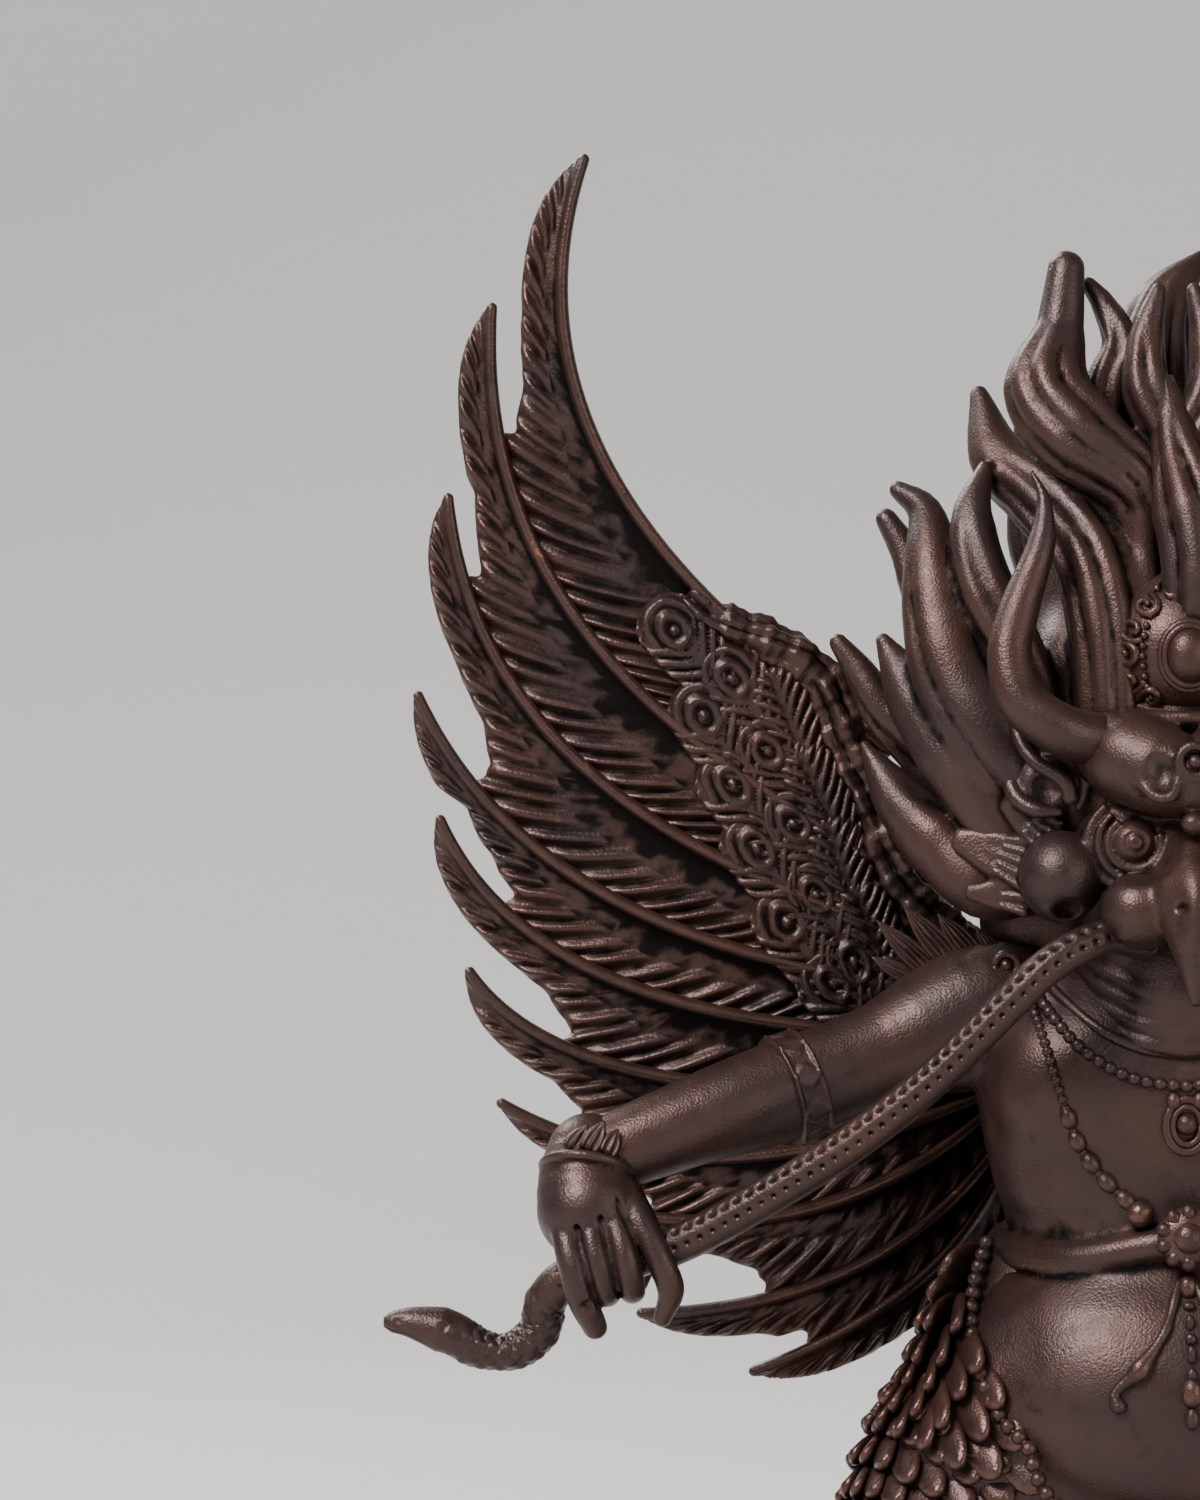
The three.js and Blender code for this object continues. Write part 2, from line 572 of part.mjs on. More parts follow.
// The tail: a fan of long feathers from the small of the back down behind the feet.
const TAIL = { feathers: 5, spread: 11, root: [5.5, 33], bend: [11.5, 22], tip: [15.5, 3.5] };
function tail() {
  const middle = (TAIL.feathers - 1) / 2;
  return Array.from({ length: TAIL.feathers }, (_, i) => {
    const share = (i - middle) / middle;
    const lift = 5 * share * share;
    const path = [
      at(2.5 * share, TAIL.root[0], TAIL.root[1]),
      at(0.6 * TAIL.spread * share, TAIL.bend[0] - share * share, TAIL.bend[1] + lift),
      at(TAIL.spread * share, TAIL.tip[0] - share * share, TAIL.tip[1] + lift),
    ];
    return limb(path, [2.2, 3.4, 3.4, 0], { sides: 4, steps: 3, flat: 0.4 });
  });
}

// Everything but the wings and the plinth is one casting, with the feet cut off flat at the soles.
function figure() {
  const whole = cast([
    ...core(),
    ...head(),
    ...hair(),
    ...crown(),
    ...jewellery(),
    ...tail(),
    ...bothSides((side) => [
      limb(route(side, HORN), HORN_GIRTHS, { sides: 5, steps: 6 }),
      ...tufts(side),
      ...arm(side),
      ...shoulderLeaves(side),
      ...snake(side),
      ...leg(side),
      ...thigh(side),
    ]),
  ]);
  return whole.subtract(block(at(-40, -40, -10), at(40, 40, 0)));
}

// The plinth: an oval drum with a plain foot, a ring of lotus petals and a rolled rim. Each row is a
// height, how far it stands in from the foot, and the share of the petals' bulge that shows there.
const outermostToe = toeTip(FOOT_TURN + TOE_SPREAD, 1)[0] * scale;
const plinth = {
  wide: outermostToe + PLINTH_MARGIN,
  deep: TAIL.tip[0] * scale + PLINTH_MARGIN,
};
const SEGMENTS_PER_PETAL = 4;
function lotusPlinth() {
  const petals = PLINTH_HEIGHT - PLINTH_FOOT;
  const rows = [
    { up: 0, inset: 0, bulge: 0 },
    { up: PLINTH_FOOT, inset: 0, bulge: 0 },
    { up: PLINTH_FOOT + 0.06 * petals, inset: 1.6, bulge: 0.6 },
    { up: PLINTH_FOOT + 0.3 * petals, inset: 1.6, bulge: 1 },
    { up: PLINTH_FOOT + 0.66 * petals, inset: 3, bulge: 0.8 },
    { up: PLINTH_FOOT + 0.76 * petals, inset: 4.4, bulge: 0 },
    { up: PLINTH_FOOT + 0.84 * petals, inset: 3.4, bulge: 0 },
    { up: PLINTH_HEIGHT, inset: 3.6, bulge: 0 },
  ];
  return lofted(
    rows.map(({ up, inset, bulge }) =>
      ring(SEGMENTS_PER_PETAL * PETAL_COUNT, (angle) => {
        const out = bulge * PETAL_BULGE * Math.abs(Math.sin((angle * PETAL_COUNT) / 2)) - inset;
        return new THREE.Vector3(
          (plinth.wide + out) * Math.cos(angle),
          (plinth.deep + out) * Math.sin(angle),
          up,
        );
      }),
    ),
  );
}

// Oxidised copper, almost black in the hollows and redder where it is worn.
const oxidisedCopper = () =>
  new THREE.MeshStandardMaterial({ color: 0x3b2a26, roughness: 0.42, metalness: 0.85 });

function meshOf(name, solid) {
  const { vertProperties, triVerts } = solid.getMesh();
  const geometry = new THREE.BufferGeometry();
  geometry.setAttribute("position", new THREE.BufferAttribute(vertProperties, 3));
  geometry.setIndex(new THREE.BufferAttribute(triVerts, 1));
  geometry.computeVertexNormals();
  const mesh = new THREE.Mesh(geometry, oxidisedCopper());
  mesh.name = name;
  return mesh;
}

const rightWing = meshOf("right_wing", wing());
const leftWing = rightWing.clone();
leftWing.name = "left_wing";
leftWing.material = oxidisedCopper();
leftWing.scale.x = -1;

const standing = new THREE.Group();
standing.position.z = PLINTH_HEIGHT + SEAT_GAP;
standing.add(meshOf("figure", figure()), rightWing, leftWing);

const garuda = new THREE.Group();
garuda.add(meshOf("plinth", lotusPlinth()), standing);

export default garuda;
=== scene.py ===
# A small garuda of dark oxidised copper on its lotus plinth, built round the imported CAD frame.

import math

import bpy
import numpy as np
import openvdb
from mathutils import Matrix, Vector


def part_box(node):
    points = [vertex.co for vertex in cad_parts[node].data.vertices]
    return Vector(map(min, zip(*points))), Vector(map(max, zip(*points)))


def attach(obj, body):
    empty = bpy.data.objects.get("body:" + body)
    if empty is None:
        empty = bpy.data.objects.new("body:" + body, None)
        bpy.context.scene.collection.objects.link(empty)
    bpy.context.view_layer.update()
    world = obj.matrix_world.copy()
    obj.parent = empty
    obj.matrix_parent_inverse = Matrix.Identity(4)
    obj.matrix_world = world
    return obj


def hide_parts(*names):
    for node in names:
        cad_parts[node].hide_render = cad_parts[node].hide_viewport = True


# The stage
# A pale floor that sweeps up behind the object, soft studio light from the upper left, and the camera
# of the close-up: level with the face, a little to the right wing's side.
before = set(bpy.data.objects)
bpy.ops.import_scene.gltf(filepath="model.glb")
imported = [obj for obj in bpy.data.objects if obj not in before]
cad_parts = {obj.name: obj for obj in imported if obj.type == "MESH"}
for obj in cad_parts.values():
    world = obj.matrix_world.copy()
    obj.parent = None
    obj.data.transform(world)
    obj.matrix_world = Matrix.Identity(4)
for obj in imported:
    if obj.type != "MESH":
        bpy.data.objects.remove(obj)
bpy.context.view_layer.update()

CAMERA_PLACE = (-0.0356, -0.36, 0.0875)
CAMERA_LENS = 138.24
CAMERA_NEAR = 0.01
SENSOR = 36

FLOOR_COLOUR = (0.62, 0.61, 0.6, 1)
FLOOR_ROUGHNESS = 0.8
FLOOR_HALF = 1.6
FLOOR_BACK = 0.5
SWEEP_RADIUS = 0.35
WALL_TOP = 1.8
AMBIENT_COLOUR = (0.83, 0.8, 0.78, 1)
AMBIENT = 0.32

LIGHTS = {
    "key": {"place": (-0.42, -0.42, 0.62), "size": 0.42, "watts": 12.5},
    "fill": {"place": (0.5, -0.5, 0.2), "size": 0.6, "watts": 2.6},
    "rim": {"place": (-0.3, 0.36, 0.5), "size": 0.35, "watts": 4.0},
}
LIGHTS_AIM = (-0.03, 0, 0.085)


def plain_surface(name, colour, roughness):
    """A plain material of one colour, for what isn't part of the object."""
    material = bpy.data.materials.new(name)
    material.use_nodes = True
    shader = material.node_tree.nodes["Principled BSDF"]
    shader.inputs["Base Color"].default_value = colour
    shader.inputs["Roughness"].default_value = roughness
    return material


def sweep_floor():
    """The floor, a quarter round at its back, and the wall above it, as one strip."""
    turns = np.linspace(0, math.pi / 2, 24)
    profile = [(-FLOOR_HALF, 0)]
    profile += [
        (FLOOR_BACK + SWEEP_RADIUS * math.sin(a), SWEEP_RADIUS * (1 - math.cos(a))) for a in turns
    ]
    profile.append((FLOOR_BACK + SWEEP_RADIUS, WALL_TOP))
    points = [(side * FLOOR_HALF, y, z) for y, z in profile for side in (-1, 1)]
    faces = [(2 * i, 2 * i + 1, 2 * i + 3, 2 * i + 2) for i in range(len(profile) - 1)]
    mesh = bpy.data.meshes.new("floor")
    mesh.from_pydata(points, [], faces)
    mesh.polygons.foreach_set("use_smooth", [True] * len(faces))
    mesh.materials.append(plain_surface("pale_floor", FLOOR_COLOUR, FLOOR_ROUGHNESS))
    floor = bpy.data.objects.new("floor", mesh)
    bpy.context.collection.objects.link(floor)


def aimed(item, target):
    """Turns a light so that it shines at a place."""
    way = Vector(target) - item.location
    item.rotation_euler = way.to_track_quat("-Z", "Y").to_euler()


def light_stage():
    """The soft boxes and the even light of the room."""
    for name, light in LIGHTS.items():
        data = bpy.data.lights.new(name, "AREA")
        data.shape = "DISK"
        data.size = light["size"]
        data.energy = light["watts"]
        item = bpy.data.objects.new(name, data)
        item.location = light["place"]
        aimed(item, LIGHTS_AIM)
        bpy.context.collection.objects.link(item)
    world = bpy.data.worlds.new("room")
    world.use_nodes = True
    background = world.node_tree.nodes["Background"]
    background.inputs["Color"].default_value = AMBIENT_COLOUR
    background.inputs["Strength"].default_value = AMBIENT
    bpy.context.scene.world = world


def place_camera():
    """The close-up's camera: it looks straight along +Y."""
    data = bpy.data.cameras.new("close_up")
    data.lens = CAMERA_LENS
    data.sensor_width = SENSOR
    data.clip_start = CAMERA_NEAR
    camera = bpy.data.objects.new("close_up", data)
    camera.location = CAMERA_PLACE
    camera.rotation_euler = (math.pi / 2, 0, 0)
    bpy.context.collection.objects.link(camera)
    bpy.context.scene.camera = camera


sweep_floor()
light_stage()
place_camera()

# The body
# Chest, neck, pot belly and outstretched arms, cast in one with the head and legs. The copper is
# smooth here, with a roll of flesh under the chest.

# The figure is drawn in millimetres up from its soles, and fitted to the frame's height.
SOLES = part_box("figure")[0].z
WING_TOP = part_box("right_wing")[1].z
DRAWN_HEIGHT = 113.1
UNIT = (WING_TOP - SOLES) / DRAWN_HEIGHT
ROOT = "root"

# The share of a piece's triangles that is kept, so that all stay under a million. Flat places lose
# theirs first.
KEPT = {
    "right_wing_feathers": 0.6,
    "left_wing_feathers": 0.6,
    "body": 0.38,
    "face": 0.38,
    "hair": 0.38,
    "horns": 1.0,
    "hands": 0.5,
    "snake": 0.5,
    "legs": 0.38,
    "tail": 0.7,
    "jewellery": 0.7,
    "lotus_plinth": 0.35,
}


class Skin:
    """Gathers closed skins, in drawn millimetres, into the mesh of one piece.

    The right hand's side lies at negative x, the front at negative y and the soles at z = 0."""

    def __init__(self):
        self.points = []
        self.faces = []
        self.plain = []
        self.count = 0

    def add(self, points, quads, ends=()):
        """One more closed skin, from its points, its four-sided faces and its end faces.

        The faces are turned over where they would look inwards."""
        one, two, three, four = np.moveaxis((points - points.mean(axis=0))[quads], 1, 0)
        volume = (np.cross(one, two) * three).sum() + (np.cross(one, three) * four).sum()
        faces = quads.tolist() + list(ends)
        if volume < 0:
            faces = [face[::-1] for face in faces]
        self.points.append(points)
        self.faces.extend([[corner + self.count for corner in face] for face in faces])
        self.count += len(points)

    def add_grid(self, rings, plain=False):
        """A skin through rings of points, each ring closed round, with its two ends filled."""
        if plain:
            self.plain.append(slice(self.count, self.count + rings.size // 3))
        rows, around = rings.shape[:2]
        index = np.arange(rows * around).reshape(rows, around)
        across = np.roll(index, -1, axis=1)
        quads = np.stack([index[:-1], across[:-1], across[1:], index[1:]], axis=-1).reshape(-1, 4)
        self.add(rings.reshape(-1, 3), quads, [index[0, ::-1].tolist(), index[-1].tolist()])

    def piece(self, name, material, mirrored=False):
        """The Blender object, in metres in the frame, thinned to its share and riding on the root body."""
        points = np.concatenate(self.points)
        faces = self.faces
        if mirrored:
            points = points * (-1, 1, 1)
            faces = [face[::-1] for face in faces]
        mesh = bpy.data.meshes.new(name)
        mesh.from_pydata((points * UNIT + (0, 0, SOLES)).tolist(), [], faces)
        mesh.polygons.foreach_set("use_smooth", [True] * len(faces))
        relief = relief_of(mesh, points)
        for part in self.plain:
            relief[part] = 0
        mesh.attributes.new("relief", "FLOAT", "POINT").data.foreach_set("value", relief)
        mesh.materials.append(material)
        item = bpy.data.objects.new(name, mesh)
        bpy.context.collection.objects.link(item)
        item.modifiers.new("thinned", "DECIMATE").ratio = KEPT[name]
        shown = item.evaluated_get(bpy.context.evaluated_depsgraph_get())
        thinned = bpy.data.meshes.new_from_object(shown)
        item.modifiers.clear()
        item.data = thinned
        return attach(item, ROOT)


RELIEF_ROUNDS = 10
RELIEF_FULL = 0.24


def relief_of(mesh, points):
    """For each point, from -1 in a hollow to 1 on a ridge: how far it stands out of its surroundings."""
    edges = np.empty(len(mesh.edges) * 2, np.int32)
    mesh.edges.foreach_get("vertices", edges)
    one, other = edges.reshape(-1, 2).T
    normals = np.empty(len(points) * 3, np.float32)
    mesh.vertex_normals.foreach_get("vector", normals)
    normals = normals.reshape(-1, 3)
    near = np.bincount(one, minlength=len(points)) + np.bincount(other, minlength=len(points))
    smooth = points.astype(np.float64)
    for _ in range(RELIEF_ROUNDS):
        total = np.stack(
            [
                np.bincount(one, smooth[other, axis], len(points))
                + np.bincount(other, smooth[one, axis], len(points))
                for axis in range(3)
            ],
            axis=-1,
        )
        smooth = 0.5 * smooth + 0.5 * total / np.maximum(near, 1)[:, None]
    height = ((points - smooth) * normals).sum(axis=1)
    return np.clip(height / RELIEF_FULL, -1, 1).astype(np.float32)


STEPS_BETWEEN = 24


def smooth_path(points, count):
    """Places evenly along a smooth curve through points, and the shares of its length at the points."""
    points = np.array(points, float)
    ends = np.concatenate([[2 * points[0] - points[1]], points, [2 * points[-1] - points[-2]]])
    fine = []
    t = np.linspace(0, 1, STEPS_BETWEEN, endpoint=False)[:, None]
    for a, b, c, d in zip(ends[:-3], ends[1:-2], ends[2:-1], ends[3:]):
        second = (2 * a - 5 * b + 4 * c - d) * t**2
        third = (3 * b - a - 3 * c + d) * t**3
        fine.append(0.5 * (2 * b + (c - a) * t + second + third))
    fine = np.concatenate([*fine, points[-1:]])
    reach = np.concatenate([[0], np.cumsum(np.linalg.norm(np.diff(fine, axis=0), axis=1))])
    reach = reach / reach[-1]
    share = np.linspace(0, 1, count)
    places = np.stack([np.interp(share, reach, fine[:, k]) for k in range(points.shape[1])], axis=-1)
    return places, reach[::STEPS_BETWEEN]


def frames_along(places):
    """Directions along a path and two directions across it that turn as little as they can."""
    way = np.gradient(places, axis=0)
    way /= np.linalg.norm(way, axis=1, keepdims=True)
    across = np.empty_like(way)
    start = np.array([0.0, 1.0, 0.0]) if abs(way[0][1]) < 0.9 else np.array([1.0, 0.0, 0.0])
    across[0] = np.cross(way[0], start)
    for k in range(1, len(way)):
        across[k] = across[k - 1] - way[k] * (across[k - 1] @ way[k])
    across /= np.linalg.norm(across, axis=1, keepdims=True)
    return way, across, np.cross(way, across)


class Clay:
    """A block of soft clay: for each small cube of it, how far that lies outside the modelled skin.

    It holds the half on the right hand's side, and its mirror image is added when it is cast."""

    FAR = 3.0

    def __init__(self, out, low, high, grain):
        self.grain = grain
        self.low = np.array([-grain * round(out / grain), low[0], low[1]])
        self.shape = np.ceil((np.array([0, *high]) - self.low) / grain).round().astype(int) + 1
        self.far = np.full(self.shape, self.FAR, np.float32)

    def window(self, low, high):
        """The cubes between two corners: their slices, and their places along each axis."""
        first = np.floor((np.array(low) - self.low) / self.grain).astype(int)
        last = np.ceil((np.array(high) - self.low) / self.grain).astype(int) + 1
        first, last = np.clip(first, 0, self.shape), np.clip(last, 0, self.shape)
        slices = tuple(slice(a, b) for a, b in zip(first, last))
        axes = [
            (self.low[k] + self.grain * np.arange(first[k], last[k])).astype(np.float32)
            for k in range(3)
        ]
        return slices, np.meshgrid(*axes, indexing="ij", sparse=True)

    def press(self, slices, far, blend, cut=False):
        """Adds a form to the clay, or cuts it out, with a soft seam."""
        here = self.far[slices]
        if cut:
            here = -here
        share = np.clip(0.5 + 0.5 * (here - far) / blend, 0, 1)
        mixed = here + share * (far - here) - blend * share * (1 - share)
        self.far[slices] = -mixed if cut else mixed

    def ball(self, centre, radii, blend=0.5, cut=False):
        """A round form with its own radius in each direction."""
        centre = np.array([-centre[0], *centre[1:]], float)
        radii = np.array(radii, float) * np.ones(3)
        reach = radii + blend + 2 * self.grain
        slices, (x, y, z) = self.window(centre - reach, centre + reach)
        deep = np.sqrt(
            ((x - centre[0]) / radii[0]) ** 2
            + ((y - centre[1]) / radii[1]) ** 2
            + ((z - centre[2]) / radii[2]) ** 2
        )
        self.press(slices, (deep - 1) * radii.min(), blend, cut)

    def limb(self, path, girths, blend=0.5, cut=False, grooves=None):
        """A round form along a path; grooves gives how deep its skin is cut at a share and an angle."""
        path = [(-out, back, up) for out, back, up in path]
        girths = np.array(girths, float)
        length = np.linalg.norm(np.diff(np.array(path), axis=0), axis=1).sum()
        count = max(3, int(length / max(0.3 * girths.mean(), 1.6 * self.grain)) + 1)
        places, _ = smooth_path(path, count)
        girth = np.interp(np.linspace(0, 1, count), np.linspace(0, 1, len(girths)), girths)
        margin = blend + 2 * self.grain
        reach = girth[:, None] + margin
        slices, axes = self.window((places - reach).min(axis=0), (places + reach).max(axis=0))
        shape = tuple(axis.size for axis in axes)
        if min(shape) == 0:
            return
        far = np.full(shape, self.FAR, np.float32)
        nearest = np.zeros(shape, np.float32)
        for k in range(count - 1):
            near = []
            for axis, (one, other) in enumerate(zip(places[k], places[k + 1])):
                half = max(girth[k], girth[k + 1]) + margin
                ends = (min(one, other) - half, max(one, other) + half)
                near.append(slice(*np.searchsorted(axes[axis].ravel(), ends)))
            near = tuple(near)
            x, y, z = axes[0][near[0]], axes[1][:, near[1]], axes[2][:, :, near[2]]
            x, y, z = (axis - start for axis, start in zip((x, y, z), places[k]))
            way = places[k + 1] - places[k]
            share = np.clip((x * way[0] + y * way[1] + z * way[2]) / (way @ way), 0, 1)
            gap = np.sqrt((x - share * way[0]) ** 2 + (y - share * way[1]) ** 2 + (z - share * way[2]) ** 2)
            gap -= girth[k] + share * (girth[k + 1] - girth[k])
            closer = gap < far[near]
            far[near] = np.where(closer, gap, far[near])
            nearest[near] = np.where(closer, k + share, nearest[near])
        if grooves is not None:
            _, across, deep = frames_along(places)
            before = np.minimum(nearest.astype(int), count - 2)
            part = nearest - before
            one = other = 0
            for axis, line in enumerate(axes):
                centre, side, face = (
                    rows[before, axis] * (1 - part) + rows[before + 1, axis] * part
                    for rows in (places, across, deep)
                )
                one = one + (line - centre) * side
                other = other + (line - centre) * face
            far += grooves(nearest / (count - 1), np.arctan2(other, one)).astype(np.float32)
        self.press(slices, far, blend, cut)

    def loft(self, levels, blend=0.5, corner=2.0):
        """A form through oval levels: height, half width, half depth and how far back its middle is."""
        levels, _ = smooth_path(levels, 200)
        slices, (x, y, z) = self.window(
            (self.low[0], self.low[1], levels[0, 0]), (0, 1e3, levels[-1, 0])
        )
        height = z.ravel()
        wide, deep, back = (np.interp(height, levels[:, 0], levels[:, k]) for k in (1, 2, 3))
        form = np.abs(x / wide) ** corner + np.abs((y - back) / deep) ** corner
        far = (form ** (1 / corner) - 1) * np.minimum(wide, deep)
        ends = np.maximum(levels[0, 0] - z, z - levels[-1, 0])
        self.press(slices, np.maximum(far, ends).astype(np.float32), blend)

    def front(self, out, up):
        """How far back the front of the clay lies at a place."""
        column = self.far[
            int(round((-out - self.low[0]) / self.grain)), :, int(round((up - self.low[2]) / self.grain))
        ]
        if column.min() >= 0:
            return self.low[1] + self.grain * int(column.argmin())
        k = int(np.argmax(column < 0))
        return self.low[1] + self.grain * (k - column[k] / (column[k] - column[k - 1]))

    def cast(self, skin):
        """The skin of the clay and of its mirror image, added to a piece's skin."""
        whole = np.concatenate([self.far, self.far[-2::-1]])
        grid = openvdb.FloatGrid(self.FAR)
        grid.copyFromArray(whole)
        points, quads = grid.convertToQuads()
        skin.add(points * self.grain + self.low, quads)


# Height, half width, half depth and how far back the middle lies.
TORSO = [
    (24.5, 5.0, 4.5, -1.2),
    (26.5, 9.6, 8.2, -1.5),
    (30.0, 12.2, 10.6, -1.8),
    (33.5, 12.9, 11.2, -2.2),
    (37.5, 12.6, 11.0, -2.4),
    (40.8, 11.7, 10.0, -2.2),
    (43.2, 10.6, 8.9, -1.6),
    (45.2, 10.3, 8.6, -1.2),
    (50.2, 11.5, 9.2, -1.0),
    (54.6, 12.2, 9.4, -1.2),
    (58.0, 11.8, 8.6, -1.0),
    (60.6, 9.4, 7.2, -1.0),
    (62.0, 7.0, 6.4, -1.4),
]
NECK = [(0, -1.6, 58), (0, -2.2, 62), (0, -2.6, 68)]
NECK_FOLDS = [60.2, 62.0, 63.7]
CHEST_ROLL = [
    (0, 6.9, 45.2), (5.0, 6.1, 45.0), (8.6, 4.0, 44.8), (10.4, 0.2, 44.5), (9.8, -3.6, 44.2),
    (6.6, -7.8, 44.1), (2.3, -9.9, 45.0), (0, -10.1, 45.4),
]
ARM = [
    (9, -1, 59.6), (12.5, -1.6, 59.0), (17, -2.5, 56.9), (23.2, -4, 54.5), (29.5, -6, 52.5),
    (36.2, -7.2, 50.0),
]
ARM_GIRTHS = [3.8, 4.0, 3.7, 3.1, 3.05, 3.2, 3.0, 2.7, 2.5, 2.2]
HIP = [(7.5, -1.0, 43.4), (8.6, -2.0, 39.5), (9.6, -2.6, 35), (11, -2.6, 31)]
HIP_GIRTHS = [4.4, 5.4, 6.3, 7.0]


def body_clay():
    """Chest, belly, neck and both arms."""
    clay = Clay(39, (-16, 22), (10, 69), 0.24)
    clay.loft(TORSO, corner=2.25)
    clay.ball((0, -2.2, 35.2), (12.9, 11.3, 9.6), blend=1.2)
    clay.limb([(7.4, -1.8, 39.6), *HIP[2:]], [4.6, 6.0, 7.1], blend=2.4)
    clay.limb(NECK, [6.6, 6.0, 6.0], blend=1.5)
    clay.ball((5.4, -6.2, 55.2), (5.6, 3.9, 4.6), blend=1.6)
    clay.limb(ARM, ARM_GIRTHS, blend=1.6)
    outward = [(x, y + 1.6, math.hypot(x, y + 1.6), z) for x, y, z in CHEST_ROLL]
    valley = [(x * (1 + 1.4 / r), y * (1 + 1.4 / r) - 1.6, z + 1.7) for x, y, r, z in outward]
    crease = [(x * (1 + 1.0 / r), y * (1 + 1.0 / r) - 1.6, z - 1.05) for x, y, r, z in outward]
    clay.limb(valley, [0.7], blend=1.5, cut=True)
    clay.limb(CHEST_ROLL, [1.05], blend=0.5)
    clay.limb(crease, [0.16], blend=0.3, cut=True)
    for up in NECK_FOLDS:
        fold = [
            (6.2 * math.sin(a), -2.2 - 6.2 * math.cos(a), up - 0.7 * math.cos(a))
            for a in np.linspace(-0.1, 1.6, 7)
        ]
        clay.limb(fold, [0.22], blend=0.7, cut=True)
    return clay


AGED_COPPER_INPUTS = (
    ("Brown", "NodeSocketColor", (0.05, 0.023, 0.018, 1)),
    ("Dusky", "NodeSocketColor", (0.036, 0.02, 0.018, 1)),
    # near black for the hollows: dark patina together with painted shade where the hollows would lie in
    # shadow
    ("Hollow Shade", "NodeSocketColor", (0.006, 0.004, 0.0035, 1)),
    ("Worn", "NodeSocketColor", (0.092, 0.042, 0.033, 1)),
    ("Bare", "NodeSocketColor", (0.42, 0.14, 0.065, 1)),
    ("Wear", "NodeSocketFloat", 0.5),
    ("Pebble Scale", "NodeSocketFloat", 5000.0),
)
AGED_COPPER_OUTPUTS = (
    ("Colour", "NodeSocketColor"),
    ("Metal", "NodeSocketFloat"),
    ("Roughness", "NodeSocketFloat"),
    ("Height", "NodeSocketFloat"),
)
CLOUD_SCALE = 130.0
BLOTCH_SCALE = 620.0
FINE_GRAIN_SCALE = 8600.0
ROUGHNESS_RANGE = (0.35, 0.5)
METAL = {"open": 0.6, "more in hollows": 0.3}
# where the painted shade and patina of the hollows starts and where it is full, measured on the relief
HOLLOW_SHADE_FROM = -0.03
HOLLOW_SHADE_FULL = -0.42
BUMP_STRENGTH = 0.7


class Wiring:
    """Adds nodes to a node tree and joins them: each value is a number, a colour or another output."""

    def __init__(self, tree):
        self.tree = tree

    def node(self, kind, inputs=(), **settings):
        """A node of a kind, with its settings and what goes into its sockets."""
        node = self.tree.nodes.new(kind)
        for name, value in settings.items():
            setattr(node, name, value)
        for socket, value in dict(inputs).items():
            if isinstance(value, bpy.types.NodeSocket):
                self.tree.links.new(value, node.inputs[socket])
            else:
                node.inputs[socket].default_value = value
        return node

    def maths(self, operation, one, other=0.0, clamp=False):
        """The result of a sum, product or the like of two values."""
        node = self.node("ShaderNodeMath", {0: one, 1: other}, operation=operation, use_clamp=clamp)
        return node.outputs[0]

    def step(self, value, low, high, start=0.0, end=1.0):
        """A soft rise from start to end while the value goes from low to high."""
        inputs = {"Value": value, "From Min": low, "From Max": high, "To Min": start, "To Max": end}
        return self.node("ShaderNodeMapRange", inputs, interpolation_type="SMOOTHSTEP").outputs["Result"]

    def noise(self, place, scale, detail, rough=0.55):
        """Clouds of values from about 0.3 to 0.7."""
        inputs = {"Vector": place, "Scale": scale, "Detail": detail, "Roughness": rough}
        return self.node("ShaderNodeTexNoise", inputs).outputs["Fac"]

    def mix(self, share, one, other):
        """A colour between two colours."""
        inputs = {"Factor": share, "A": one, "B": other}
        node = self.node("ShaderNodeMix", data_type="RGBA")
        for name, value in inputs.items():
            socket = [s for s in node.inputs if s.name == name and s.enabled][0]
            if isinstance(value, bpy.types.NodeSocket):
                self.tree.links.new(value, socket)
            else:
                socket.default_value = value
        return [s for s in node.outputs if s.enabled][0]


